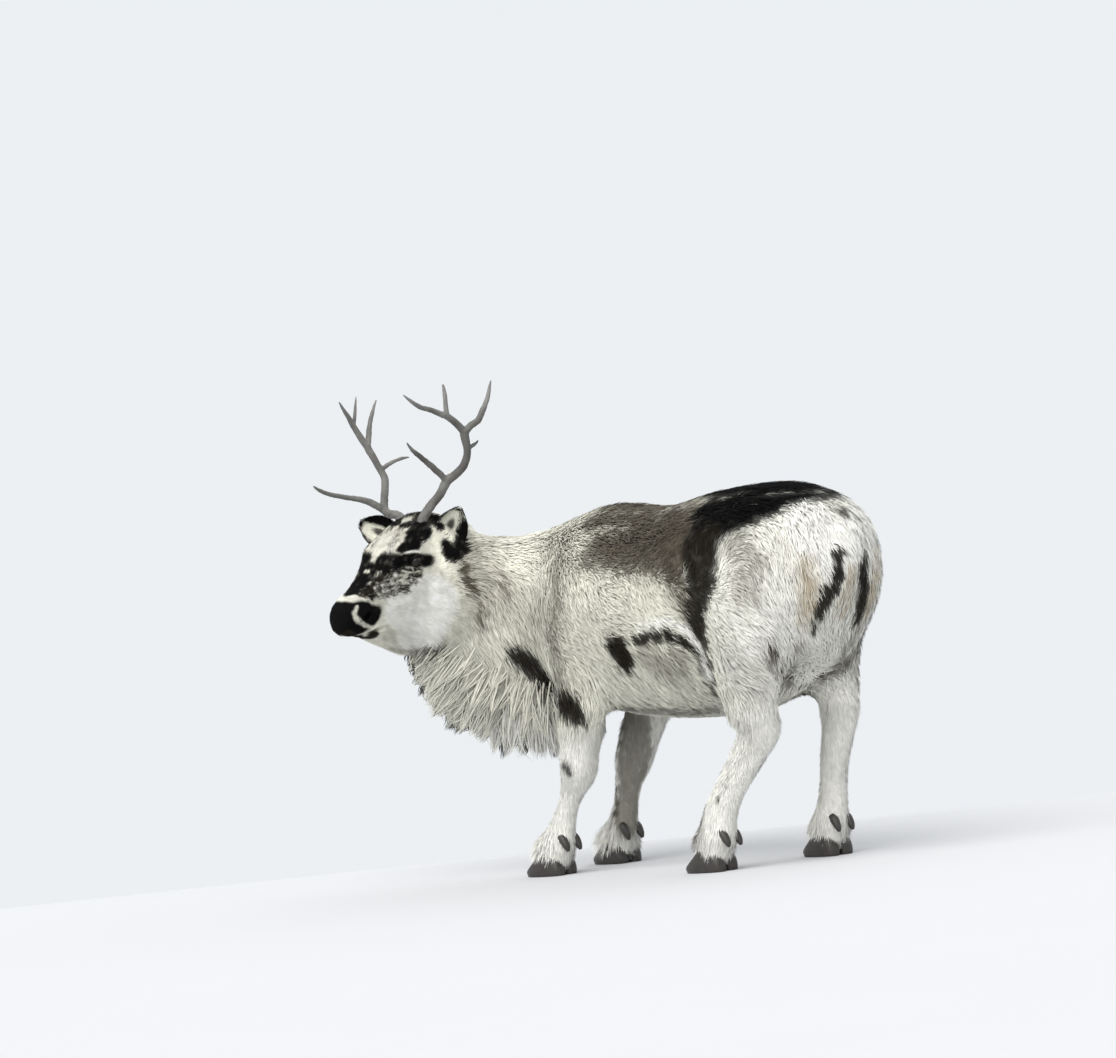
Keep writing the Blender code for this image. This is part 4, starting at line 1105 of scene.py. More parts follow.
HEAD_MARKS = (
    ("cheek", Tint.WHITE, 0.026, 0.97, 0.6, True,
     ((162, 58, -135, 44), (103, 81, -144, 53), (147, 60, -205, 48))),
    ("forehead", Tint.PALE, 0.02, 0.9, 0.95, True,
     ((96, 39, -2, 28), (66, 5, 7, 26), (110, 23, -6, 20))),
    ("forehead fleck", Tint.BROWN, 0.026, 0.56, 0.98, True,
     ((107, 30, -5, 11), (79, 27, 2, 13), (55, 15, 8, 13), (81, 25, 2, 11))),
    ("forehead bright", Tint.WHITE, 0.02, 0.3, 0.98, True,
     ((106, 36, -3, 15), (75, 10, 5, 11))),
    ("mottle base", Tint.DARK, 0.035, 0.9, 0.95, True,
     ((201, 42, -62, 22), (171, 52, -62, 31), (140, 65, -73, 24), (104, 75, -75, 15))),
    ("face band", Tint.BLACK, 0.02, 1, 0.7, True,
     ((144, 29, -21, 20), (147, 36, -24, 24), (128, 69, -34, 18))),
    ("bridge low", Tint.DARK, 0.018, 0.85, 0.85, True,
     ((221, 25, -51, 18), (210, 42, -67, 13))),
    ("bridge", Tint.BLACK, 0.018, 1, 0.6, True,
     ((173, 6, -31, 24), (209, 2, -42, 26), (235, 1, -47, 18))),
    ("mottle", Tint.PALE, 0.031, 0.5, 1, True,
     ((187, 50, -71, 18), (157, 59, -72, 20), (119, 71, -77, 11))),
    ("crown top", Tint.DARK, 0.02, 0.85, 0.8, True,
     ((-35, 0, -6, 20), (-6, 22, 0, 22), (18, 34, -4, 16))),
    ("crown", Tint.BLACK, 0.013, 1, 0.75, True,
     ((38, 15, 10, 13), (25, 38, 5, 20), (13, 59, -8, 15), (40, 62, -13, 20), (58, 51, -5, 18),
      (71, 68, -14, 20), (105, 65, -7, 15))),
    ("crown rear", Tint.BLACK, 0.02, 1, 0.8, True,
     ((-30, 15, 0, 20), (-24, 45, -10, 22), (-8, 64, -22, 14))),
    ("crown spot", Tint.PALE, 0.007, 0.8, 0.4, True,
     ((68, 38, 0, 4),)),
    ("eye band", Tint.BLACK, 0.013, 1, 0.4, True,
     ((118, 73, -34, 15), (93, 80, -49, 18), (64, 82, -68, 13))),
    ("brow line", Tint.WHITE, 0.005, 0.6, 0.5, True,
     ((114, 72, -16, 3), (96, 77, -24, 3), (73, 74, -38, 4), (60, 78, -48, 3))),
    ("bridge spot", Tint.CREAM, 0.005, 0.85, 0.3, True,
     ((172, 4, -30, 4),)),
    ("tear spot", Tint.WHITE, 0.007, 0.9, 0.3, True,
     ((146, 61, -61, 6),)),
    ("tear small", Tint.WHITE, 0.005, 0.85, 0.3, True,
     ((103, 76, -89, 4),)),
    ("under eye", Tint.CREAM, 0.005, 0.8, 0.5, True,
     ((129, 65, -58, 2), (119, 70, -67, 3), (107, 74, -74, 3), (94, 77, -77, 2))),
    ("inner corner", Tint.WHITE, 0.004, 0.85, 0.2, True,
     ((129, 70, -31, 3),)),
    ("muzzle top", Tint.BLACK, 0.009, 1, 0, True,
     ((288, 8, -61, 22), (277, 33, -71, 24), (246, 38, -92, 24), (227, 44, -107, 18))),
    ("muzzle", Tint.BLACK, 0.009, 1, 0, True,
     ((294, 1, -65, 20), (307, 6, -92, 26), (295, 30, -110, 24), (264, 40, -106, 26),
      (237, 43, -109, 20))),
    # Painted highlight: a pale stripe across the top of the black muzzle.
    ("nose pale", Tint.PALE, 0.009, 0.75, 0.8, True,
     ((259, 5, -51, 6), (249, 20, -52, 7))),
    ("nose ring", Tint.PALE, 0.007, 0.85, 0.4, True,
     ((263, 34, -67, 4), (276, 35, -74, 5), (280, 37, -87, 6), (276, 39, -101, 6),
      (262, 39, -118, 5), (243, 40, -131, 4))),
    ("lip", Tint.DARK, 0.009, 1, 0, True,
     ((300, 18, -118, 11), (258, 1, -152, 13), (243, 34, -149, 11))),
    ("chin grey", Tint.GREY, 0.013, 0.6, 0.6, True,
     ((198, 11, -221, 13), (150, 32, -265, 15))),
    ("ear root", Tint.BLACK, 0.018, 1, 0.7, True,
     ((10, 93, -54, 13), (16, 106, -75, 20), (-16, 110, -73, 20), (-56, 89, -60, 13))),
    ("ear line", Tint.CREAM, 0.009, 0.85, 0.6, True,
     ((6, 65, -14, 4), (19, 76, -34, 5), (34, 88, -58, 5), (47, 102, -90, 6))),
)
MARKINGS = [Marking(*row) for row in BODY_MARKS]
MARKINGS += [Marking(*row, on_head=True) for row in HEAD_MARKS]


class Pattern:
    """Works out the coat's colour at any place from its base and the markings."""

    wanders = ((0.045, 40, 2, 0.010), (0.012, 50, 1, 0.003))
    head_wander = 0.6
    body_fleck = 0.011
    head_fleck = 0.0052
    contrast = 0.80
    draw_share = 0.4
    settling = 0.3
    whiteness = 0.8
    lift = 0.06

    def __init__(self, markings: Sequence[Marking]) -> None:
        """Keep the markings, painted in the order given."""
        self.markings = list(markings)

    def base(self, points: Array) -> Array:
        """Give the ground colour: pale cream, whiter low down and on the rump.

        Args:
            points: places, one a row.

        Returns:
            Linear colours.
        """
        pale, cream, white = (tint.linear() for tint in (Tint.PALE, Tint.CREAM, Tint.WHITE))
        mix = 0.5 + 0.5 * noise(points, 0.09, 5, 2)
        ground = pale + (cream - pale) * mix[:, None]
        near = Places(points)
        snow = near.within("snow low") + 0.6 * near.within("snow rear")
        light = np.clip(snow, 0, 1) * self.whiteness
        return ground + (white - ground) * light[:, None]

    def colour(self, points: Array, draws: Optional[Array] = None) -> Array:
        """Give the colour at each place.

        Each marking's edge wanders with two scales of noise. A marking's share is partly
        settled by chance, a fine noise blended with the draws, which flecks the coat.

        Args:
            points: places on the outer surface of the coat.
            draws: random numbers from 0 to 1, one a tuft.

        Returns:
            Linear colours.
        """
        wander = sum(np.stack([noise(points, size, seed + i, octaves) for i in range(3)], axis=1)
                     * reach for size, seed, octaves, reach in self.wanders)
        body = points + wander
        at = TRUNK_LINE.nearest(body)
        sideways = TRUNK_LINE.sideways[at]
        across = ((body - TRUNK_LINE.points[at]) * sideways).sum(1, keepdims=True)
        folded = body - 2 * np.minimum(across, 0.0) * sideways
        local = HEAD.to_head(points + wander * self.head_wander)
        head_folded = np.stack([local[:, 0], np.abs(local[:, 1]), local[:, 2]], axis=1)
        colour = self.base(points)
        head = COAT.head_share(points)
        coarse, fine = noise(points, self.body_fleck, 62, 2), noise(points, self.head_fleck, 63, 2)
        chance = 0.5 + self.contrast * (coarse * (1.0 - head) + fine * head)
        if draws is not None:
            chance = chance + (draws - chance) * self.draw_share
        chance = np.clip(chance, 0.02, 0.98)
        for mark in self.markings:
            if mark.on_head:
                places = head_folded if mark.mirrored else local
            else:
                places = folded if mark.mirrored else body
            share = mark.share(places) * mark.strength
            settled = np.clip((1.2 * share - chance) / self.settling + 0.1, 0.0, 1.0)
            settled = settled * ease(share, 0.0, 0.1)
            share = share + (settled - share) * mark.fleck
            colour = colour + (mark.tint.linear() - colour) * share[:, None]
        grain = noise(points, 0.013, 61, 3)
        dark = np.clip(1.0 - colour.mean(1) / 0.35, 0.0, 1.0)
        lifted = self.lift * ease(grain, 0.10, 0.55) * dark * ease(local[:, 0], 0.235, 0.20) * head
        dulled = 1.0 + grain * (0.10 + 0.22 * head)
        return colour * dulled[:, None] + lifted[:, None] * Tint.PALE.linear()


PATTERN = Pattern(MARKINGS)


# The skin


SIDES = (np.array([1.0, 1.0, 1.0]), np.array([1.0, -1.0, 1.0]))


@dataclass(frozen=True)
class Swell:
    """A soft rise or hollow: it moves the surface along its normal by a bell of height."""

    middle: Point
    radii: Point
    height: float
    on_head: bool = False

    def amount(self, body: Array, local: Array) -> Array:
        """Give height times e to the power of less the squared scaled distance, on both sides.

        Args:
            body: places in the body.
            local: the same places in the head.

        Returns:
            How far each place moves.
        """
        places = (local if self.on_head else body).copy()
        sign = 1.0 if self.on_head else -1.0
        places[:, 1] = np.abs(places[:, 1]) * sign
        scaled = (places - np.array(self.middle)) / np.array(self.radii)
        return self.height * np.exp(-(scaled ** 2).sum(1))


SWELLS = [
    Swell((0.100, 0.050, -0.028), (0.034, 0.030, 0.015), 0.010, True),  # brow
    Swell((0.100, 0.060, -0.092), (0.042, 0.030, 0.014), 0.006, True),  # cheek bone
    Swell((0.140, 0.055, -0.062), (0.020, 0.025, 0.016), -0.005, True),  # hollow before the eye
    Swell((0.262, 0.040, -0.086), (0.018, 0.020, 0.014), 0.004, True),  # wing of the nose
    Swell((0.720, -0.200, 0.520), (0.110, 0.120, 0.130), 0.012),  # thigh
    Swell((0.180, -0.200, 0.500), (0.080, 0.120, 0.120), 0.010),  # shoulder
    Swell((0.520, -0.200, 0.440), (0.060, 0.120, 0.060), 0.012),  # fold of the flank
]


@dataclass(frozen=True)
class Skin:
    """The one skin under the coat, from nose to tail and down to the hooves."""

    voxel: float = 0.0114
    passes: int = 7
    mane_share: float = 0.5
    jaw_corner: Point = (0.126, 0.073, -0.183)
    eye_long: Point = (0.88, -0.44, -0.16)
    eye_half: Tuple[float, float] = (0.0142, 0.0092)
    eye_reach: float = 0.045
    lid_rise: float = 0.0022
    lid_roll: float = 0.0012
    lid_crease: float = 0.0015
    lid_edge: float = 1.25
    roll_width: float = 0.22
    crease_width: float = 0.25
    eye_sink: float = 0.004
    nostril_at: Point = (0.252, 0.043, -0.101)
    nostril_out: Point = (0.50, 0.86, 0.05)
    nostril_half: Tuple[float, float] = (0.0125, 0.0075)
    nostril_curve: float = 22.0
    nostril_depth: float = 0.011
    nostril_rim: float = 0.0028
    mouth: Tuple[Row, ...] = ((0.312, -0.122), (0.285, -0.134), (0.222, -0.146))
    mouth_depth: float = 0.0045
    mouth_width: float = 0.0026
    lip_rise: float = 0.0018
    lip_at: float = 0.0065
    lip_width: float = 0.004
    head_joint: float = -0.045
    joint_ends: Tuple[float, float] = (0.075, 0.03)
    chest_bend: float = 0.05
    bend_ends: Tuple[float, float] = (0.19, 0.08)
    corner_ends: Tuple[float, float] = (0.048, 0.020)
    face_middle: Point = (0.15, 0, -0.08)
    face_ends: Tuple[float, float] = (0.30, 0.20)
    finer_reaches: Tuple[float, float] = (0.034, 0.026)

    def form(self) -> Shell:
        """Fuse trunk, mane core, legs, tail and skull into one surface with a finer head.

        Returns:
            The plain body.
        """
        core = [(*row[:5], row[5] * self.mane_share) for row in MANE]
        parts = [loft(TRUNK, UPWARDS, 48, 6, 0.92), loft(core, UPWARDS, 32, 6)]
        parts += [loft(rows, (-1, 0, 0), 32, 6) for rows in LEGS.values()]
        skull = loft(SKULL, UPWARDS, 64, 8, 0.80)
        skull.verts = HEAD.to_body(skull.verts)
        parts += [loft(TAIL, (1, 0, 0), 32, 6), skull]
        lens = Magnifier(HEAD.to_body(np.array([0.10, 0.0, -0.08])))
        for part in parts:
            part.verts = lens.spread(part.verts)
        whole = fused(parts, self.voxel, self.passes)
        whole.verts = lens.spread(whole.verts, back=True)
        return whole

    def sculpt(self, shell: Shell) -> Shell:
        """Raise and sink the forms, then sink the whole by the coat's depth.

        Args:
            shell: the evened body.

        Returns:
            The sculpted body.
        """
        local = HEAD.to_head(shell.verts)
        lift = sum(swell.amount(shell.verts, local) for swell in SWELLS)
        shell = shell.moved(shell.normals() * lift[:, None])
        depth = shell.averaged(COAT.depth(shell.verts)[:, None], 30)
        return shell.moved(-shell.normals() * depth)

    def open_eyes(self, shell: Shell) -> Shell:
        """Sink an almond hollow for each eyeball and raise lids round it.

        A vertex's q is its distance in an almond metric: the sum of its scaled long and
        short parts, each to the power 1.5, to the power two thirds. Under 1 it drops behind
        the eyeball; from 1 to 2 it follows a lid that fades into the face.

        Args:
            shell: the skin.

        Returns:
            The skin with its eyes open.
        """
        local = HEAD.to_head(shell.verts)
        for flip in SIDES:
            out = unit(EYE_OUT * flip)
            long = np.array(self.eye_long) * flip
            long = unit(long - out * (long @ out))
            short = np.cross(out, long)
            off = local - EYE_AT * flip
            a, c, h = off @ long, off @ short, off @ out
            near = (np.linalg.norm(off, axis=1) < self.eye_reach) & (h > 0)
            q = sum(np.abs(part / half) ** 1.5 for part, half in zip((a, c), self.eye_half))
            q = q ** (2 / 3)
            flat = np.minimum(a * a + c * c, (EYE_RADIUS * 0.98) ** 2)
            ball = np.sqrt(EYE_RADIUS ** 2 - flat)
            roll = np.exp(-((q - self.lid_edge) / self.roll_width) ** 2)
            lid = ball + self.lid_rise + self.lid_roll * roll
            hood = lid + 0.4 * np.maximum(h - lid, 0.0) * ease(q, 1.15, 1.9)
            goal = h + (hood - h) * ease(q, 2.6, self.lid_edge)
            crease = np.exp(-((q - 2.0) / self.crease_width) ** 2) * (c > 0)
            goal = goal - self.lid_crease * crease
            inside = ease(q, 1.06, 0.92)
            goal = goal * (1 - inside) + (ball - self.eye_sink) * inside
            local = local + np.where(near, goal - h, 0.0)[:, None] * out
        return Shell(HEAD.to_body(local), shell.faces)

    def open_nose_and_mouth(self, shell: Shell) -> Shell:
        """Sink the nostrils with a raised rim, and draw the line of the mouth as a groove.

        Rims, lips and grooves are bells: a height times e to the power of less the squared
        distance over their width.

        Args:
            shell: the skin.

        Returns:
            The skin with its nostrils and mouth.
        """
        local = HEAD.to_head(shell.verts)
        for flip in SIDES:
            out = unit(np.array(self.nostril_out) * flip)
            long = unit(np.cross(np.array([0.25, 0.0, 1.0]), out)) * flip[1]
            short = np.cross(out, long)
            off = local - np.array(self.nostril_at) * flip
            a, c = off @ long, off @ short
            c = c - self.nostril_curve * a * a * flip[1]
            near = np.linalg.norm(off, axis=1) < 0.04
            q = np.sqrt((a / self.nostril_half[0]) ** 2 + (c / self.nostril_half[1]) ** 2)
            sink = -self.nostril_depth * ease(q, 1.15, 0.35)
            rim = self.nostril_rim * np.exp(-((q - 1.5) / 0.45) ** 2)
            local = local + np.where(near, sink + rim, 0.0)[:, None] * out
        shell = Shell(HEAD.to_body(local), shell.faces)
        gap = chain_gap(local[:, [0, 2]], np.array(self.mouth), np.zeros(len(self.mouth)))
        groove = self.mouth_depth * np.exp(-(gap / self.mouth_width) ** 2)
        lip = self.lip_rise * np.exp(-((gap - self.lip_at) / self.lip_width) ** 2)
        lip = lip * (local[:, 0] > 0.2)
        groove = np.where(local[:, 0] > 0.19, groove, 0.0)
        return shell.moved(shell.normals() * (lip - groove)[:, None])

    def refine(self, shell: Shell, reach: float) -> Shell:
        """Split the faces near the eyes and the nose, so that they can hold finer form.

        Args:
            shell: the skin.
            reach: how far from an eye the splitting goes, and over 3 cm the nose as well.

        Returns:
            The finer skin.
        """
        thing = new_object("refining", new_mesh("refining", shell))
        work = bmesh.new()
        work.from_mesh(thing.data)
        centres = np.array([face.calc_center_median()[:] for face in work.faces]) - SHIFT
        local = HEAD.to_head(centres)
        folded = np.stack([local[:, 0], np.abs(local[:, 1]), local[:, 2]], axis=1)
        far = np.linalg.norm(folded - EYE_AT, axis=1)
        near_nose = (local[:, 0] > 0.225) & (local[:, 2] < -0.06) & (reach > 0.03)
        chosen = np.nonzero((far < reach) | near_nose)[0]
        work.faces.ensure_lookup_table()
        edges = list({edge for number in chosen for edge in work.faces[number].edges})
        bmesh.ops.subdivide_edges(work, edges=edges, cuts=1, use_grid_fill=True)
        bmesh.ops.triangulate(work, faces=work.faces[:])
        work.to_mesh(thing.data)
        work.free()
        finer = evaluated_shell(thing)
        drop(thing)
        return finer

    def build(self) -> Shell:
        """Make the whole skin but for the ears.

        The trunk, the joint of head and neck, the chest's bend and the jaw are evened in
        turn, each over its own soft-edged part, and the fine features come last.

        Returns:
            The skin that the coat grows on.
        """
        shell = self.form()
        near = Places(shell.verts)
        off = np.abs(near.ways["u"] - self.head_joint)
        joint = ease(off, *self.joint_ends) * near.within("poll")
        joint = np.maximum(joint, near.within("jaw joint"))
        trunk = near.within("trunk") * (1 - COAT.head_share(shell.verts))
        side = near.ways["v"]
        shell = shell.softened(22, 0.5 * trunk)
        joint *= ease(shell.verts[:, 2], 0.30, 0.38) * ease(side, 0.27, 0.20)
        shell = shell.softened(70, 0.5 * joint)
        near = Places(shell.verts)
        off = np.abs(near.ways["x"] - self.chest_bend)
        bend = ease(off, *self.bend_ends) * near.within("chest front")
        shell = self.sculpt(shell.softened(170, 0.5 * bend))
        trunk = Places(shell.verts).within("trunk") * (1 - COAT.head_share(shell.verts))
        shell = shell.softened(16, 0.5 * np.maximum(trunk, joint))
        near = Places(shell.verts)
        corner = np.stack([near.ways[way] for way in "uvw"], axis=1) - np.array(self.jaw_corner)
        shell = shell.softened(60, 0.5 * near.within("jaw"))
        far = np.linalg.norm(corner, axis=1)
        shell = shell.softened(160, 0.5 * ease(far, *self.corner_ends))
        for reach in self.finer_reaches:
            shell = self.refine(shell, reach)
        far = np.linalg.norm(HEAD.to_head(shell.verts) - np.array(self.face_middle), axis=1)
        shell = shell.softened(2, 0.4 * ease(far, *self.face_ends))
        return self.open_nose_and_mouth(self.open_eyes(shell))


@dataclass(frozen=True)
class Ear:
    """One ear: a cup with a rolled rim on a narrow root."""

    name: str
    base: Point
    tip: Point
    opening: Point
    half_width: float
    wall: float = 0.0048
    depth: float = 0.022
    heights: Tuple[float, ...] = (-0.12, 0.02, 0.16, 0.32, 0.50, 0.68, 0.84, 0.95, 1.0)
    widths: Tuple[float, ...] = (0.48, 0.58, 0.78, 0.94, 0.96, 0.82, 0.54, 0.27, 0.06)
    hollows: Tuple[float, ...] = (-0.6, -0.6, 0.1, 0.75, 1.0, 0.95, 0.8, 0.5, 0.3)
    facing_ends: Tuple[float, float] = (-0.05, 0.25)
    rear_ends: Tuple[float, float] = (0.38, 0.16)
    front_ends: Tuple[float, float] = (0.90, 0.72)
    tip_ends: Tuple[float, float] = (0.92, 0.82)
    root_ends: Tuple[float, float] = (0.20, 0.34)
    # Painted shade deep in the ear's cup: its place, size, fall-off and strength.
    cup_shade_at: Tuple[float, float] = (-0.1, 0.46)
    cup_shade_size: Tuple[float, float] = (0.24, 0.20)
    cup_shade_ends: Tuple[float, float] = (1.35, 0.55)
    cup_shade_share: float = 0.92

    def frame_of(self) -> Tuple[Array, Array, Array, float]:
        """Work out the ear's own directions in the head.

        Returns:
            Unit axis, opening and across ways, and the ear's length.
        """
        run = np.array(self.tip) - np.array(self.base)
        length = float(np.linalg.norm(run))
        axis = run / length
        opening = np.array(self.opening)
        opening = unit(opening - axis * (opening @ axis))
        return axis, opening, np.cross(axis, opening), length

    def build(self) -> Shell:
        """Carry a ring along the ear: half an ellipse behind, and a bowl in front.

        Behind, a point is the middle plus width times cosine across less depth times sine
        along the opening. In front the same run comes back, sunk by the bowl.

        Returns:
            The closed shell, in body places.
        """
        axis, opening, across, length = self.frame_of()
        rows = smooth_rows(list(zip(self.heights, self.widths, self.hollows)), 5)
        t, wide, cup = rows.T
        wide = np.maximum(wide, 0.02) * self.half_width
        deep = self.depth * (0.35 + 0.65 * wide / self.half_width)
        middle = (np.array(self.base) + np.outer(t * length, axis)
                  - np.outer(0.010 * t * t, opening))
        a = np.linspace(0, math.pi, 26)
        behind = (middle[:, None] + (wide[:, None] * np.cos(a))[..., None] * across
                  - (deep[:, None] * np.sin(a))[..., None] * opening)
        b = math.pi * (1 - np.arange(1, 23) / 23)
        wall = np.minimum(self.wall, 0.4 * deep)
        bowl = (cup * (deep - wall))[:, None] * np.sin(b)
        front = (middle[:, None] + ((wide - wall * 0.6)[:, None] * np.cos(b))[..., None] * across
                 - bowl[..., None] * opening)
        shell = close_rings(np.concatenate([behind, front], axis=1))
        shell.verts = HEAD.to_body(shell.verts)
        return shell

    def tints(self, points: Array, normals: Array) -> Tuple[Array, Array]:
        """Colour the ear: pale inside with painted shade deep in its hollow, black rim, dark back.

        Args:
            points: places on or near the ear, in the body.
            normals: outward ways there.

        Returns:
            Which places belong to the ear, and a colour for each.
        """
        axis, opening, across, length = self.frame_of()
        local = HEAD.to_head(points) - np.array(self.base)
        t = local @ axis / length
        wide = np.interp(t, self.heights, self.widths) * self.half_width
        side = (local @ across) / np.maximum(wide, 0.004)
        sunk = local @ opening
        mine = (t > 0.06) & (t < 1.2) & (np.abs(side) < 1.6) & (sunk < 0.02) & (sunk > -0.05)
        facing = (normals @ HEAD.axes().T) @ opening
        rear = -side * np.sign(across[0])
        inner = ease(facing, *self.facing_ends) * ease(rear, *self.rear_ends)
        inner = inner * ease(-rear, *self.front_ends)
        inner = inner * ease(t, *self.tip_ends) * ease(t, *self.root_ends)
        # Painted shade: the cup's deepest hollow is darkened.
        off = [(part - middle) / size for part, middle, size in zip(
            (side, t), self.cup_shade_at, self.cup_shade_size)]
        hollow = ease(np.hypot(*off), *self.cup_shade_ends)
        black, pale, dark = (tint.linear() for tint in (Tint.BLACK, Tint.CREAM, Tint.DARK))
        colour = black + (pale - black) * inner[:, None]
        colour = colour + (dark - colour) * (hollow * inner * self.cup_shade_share)[:, None]
        return mine, colour


EARS = [
    Ear("ear_left", (-0.004, 0.060, -0.076), (-0.046, 0.103, -0.003), (0.85, 0.45, -0.10), 0.037),
    Ear("ear_right", (0.014, -0.056, -0.048), (0.036, -0.138, 0.002), (0.62, 0.66, 0.25), 0.036),
]


# The coat


@dataclass
class Strands:
    """Tufts as arrays: the line of each, its side and outward ways, and its finish."""

    lines: Array
    sides: Array
    outs: Array
    widths: Array
    roots: Array
    root_tints: Array
    tip_tints: Array
    uv: Array

    def part(self, keep: Array) -> "Strands":
        """Give the tufts that keep picks."""
        return Strands(*(getattr(self, name)[keep] for name in (
            "lines", "sides", "outs", "widths", "roots", "root_tints", "tip_tints", "uv")))


@dataclass(frozen=True)
class TuftShape:
    """A tuft's cross-section: a flat triangle whose ridge faces out, narrowing to the tip."""

    thickness: float = 0.32
    roundness: float = 0.30
    taper: float = 0.75
    patch: float = 0.003

    def weave(self, name: str, strands: Strands) -> bpy.types.Object:
        """Make one mesh of all the tufts, with their colours, normals and bake patches.

        Ring i of a tuft has two points half a width to each side and a ridge point raised
        by the thickness. Width falls as one less the run to the taper power.

        Args:
            name: the piece's name.
            strands: the tufts.

        Returns:
            The piece.
        """
        count, steps = strands.lines.shape[:2]
        rings = steps - 1
        along = np.gradient(strands.lines, axis=1)
        side = unit(strands.sides[:, None] - along * (
            (strands.sides[:, None] * along).sum(-1, keepdims=True)
            / np.maximum((along ** 2).sum(-1, keepdims=True), 1e-12)))
        ridge = unit(np.cross(side, along))
        facing = (ridge[:, :1] * strands.outs[:, None]).sum(-1, keepdims=True)
        flip = np.where(facing < 0, -1.0, 1.0)
        side, ridge = side * flip, ridge * flip
        share = 1.0 - (np.arange(rings) / rings) ** (1.0 / self.taper)
        half = 0.5 * strands.widths[:, None] * (0.35 + 0.65 * share)[None]
        middle = strands.lines[:, :rings]
        offsets = [side[:, :rings] * -half[..., None], side[:, :rings] * half[..., None],
                   ridge[:, :rings] * (half * 2 * self.thickness)[..., None]]
        body = np.stack([middle + offset for offset in offsets], axis=2)
        verts = np.concatenate([body.reshape(count, rings * 3, 3), strands.lines[:, -1:]], axis=1)
        round_ways = np.stack([-side[:, :rings], side[:, :rings], ridge[:, :rings]], axis=2)
        outs = strands.outs[:, None, None]
        normals = unit(outs * (1 - self.roundness) + round_ways * self.roundness)
        normals = np.concatenate([normals.reshape(count, rings * 3, 3), outs[:, 0]], axis=1)
        one = self.faces(rings)
        stride = rings * 3 + 1
        faces = (one[None] + (np.arange(count) * stride)[:, None, None]).reshape(-1, 3)
        run = np.append(np.repeat(np.arange(rings) / rings, 3), 1.0)[None, :, None]
        tints = strands.root_tints[:, None] * (1 - run) + strands.tip_tints[:, None] * run
        shell = Shell(verts.reshape(-1, 3), faces)
        mesh = new_mesh(name, shell)
        self.paint(mesh, tints.reshape(-1, 3))
        spread = np.append(np.tile([-0.5, 0.5, 0.0], rings), 0.0)
        corners = np.stack([
            strands.uv[:, None, 0] + spread[None] * self.patch,
            strands.uv[:, None, 1] + run[..., 0] * self.patch,
        ], axis=-1).reshape(-1, 2)
        layer = mesh.uv_layers.new(name="OFBake")
        layer.uv.foreach_set("vector", corners[faces.ravel()].astype(np.float32).ravel())
        mesh.normals_split_custom_set_from_vertices(normals.reshape(-1, 3).tolist())
        return new_object(name, mesh)

    def faces(self, rings: int) -> Array:
        """List one tuft's triangles: a cap at the root, bands between rings, and the tip.

        Args:
            rings: rings of three points a tuft.

        Returns:
            Triangles as rows of three vertex numbers.
        """
        out = [(0, 1, 2)]
        for ring in range(rings - 1):
            for j in range(3):
                k = (j + 1) % 3
                a, b = ring * 3 + j, ring * 3 + k
                out += [(a, a + 3, b + 3), (a, b + 3, b)]
        last, tip = (rings - 1) * 3, rings * 3
        out += [(last + j, tip, last + (j + 1) % 3) for j in range(3)]
        return np.array(out)

    def paint(self, mesh: bpy.types.Mesh, tints: Array) -> None:
        """Store a colour for each vertex in the attribute Tint.

        Args:
            mesh: the mesh.
            tints: linear colours, one a vertex.
        """
        layer = mesh.attributes.new("Tint", "FLOAT_COLOR", "POINT")
        full = np.concatenate([np.clip(tints, 0, 1), np.ones((len(tints), 1))], axis=1)
        layer.data.foreach_set("color", full.astype(np.float32).ravel())


TUFT = TuftShape()


@dataclass(frozen=True)
class Pelt:
    """How the coat grows on one zone: a tuft's spacing, width, lift in degrees and clumps."""

    zone: Zone
    slot: str
    spacing: float
    width: float
    rings: int
    lift: Tuple[float, float] = (25.0, 8.0)
    clump: float = 0.020
    gather: float = 0.38
    frizz: float = 0.14
    scale: float = 1.0


PELTS = [
    Pelt(Zone.FACE, "coat", 0.0019, 0.0021, 1, (24, 24), 0.007, 0.15, 0.10),
    Pelt(Zone.CROWN, "coat", 0.0029, 0.0026, 2, (26, 9), 0.012, 0.30, 0.14),
    Pelt(Zone.NECK, "mane", 0.0040, 0.0031, 2, (25, 8), 0.024, 0.42, 0.15),
    Pelt(Zone.THROAT, "mane", 0.0042, 0.0034, 2, (26, 9), 0.024, 0.45, 0.13),
    Pelt(Zone.SHOULDER, "coat", 0.0040, 0.0031, 2),
    Pelt(Zone.BARREL, "coat", 0.0040, 0.0031, 2),
    Pelt(Zone.FLANK, "coat", 0.0040, 0.0031, 2),
    Pelt(Zone.RUMP, "coat", 0.0040, 0.0031, 2, (25, 8), 0.024, 0.42, 0.16),
    Pelt(Zone.THIGH, "coat", 0.0040, 0.0031, 2, (26, 9), 0.022, 0.42, 0.16),
    Pelt(Zone.FORE_LEGS, "leg_coat", 0.0028, 0.0027, 1, (22, 22), 0.010, 0.2, 0.1),
    Pelt(Zone.HIND_LEGS, "leg_coat", 0.0028, 0.0027, 1, (22, 22), 0.010, 0.2, 0.1),
    Pelt(Zone.TAIL, "coat", 0.0034, 0.0038, 2, (16, 6), 0.016, 0.4, 0.12, 0.8),
]
EAR_PELT = Pelt(Zone.EARS, "ear_coat", 0.0019, 0.0021, 1, (24, 24), 0.008, 0.2, 0.12)


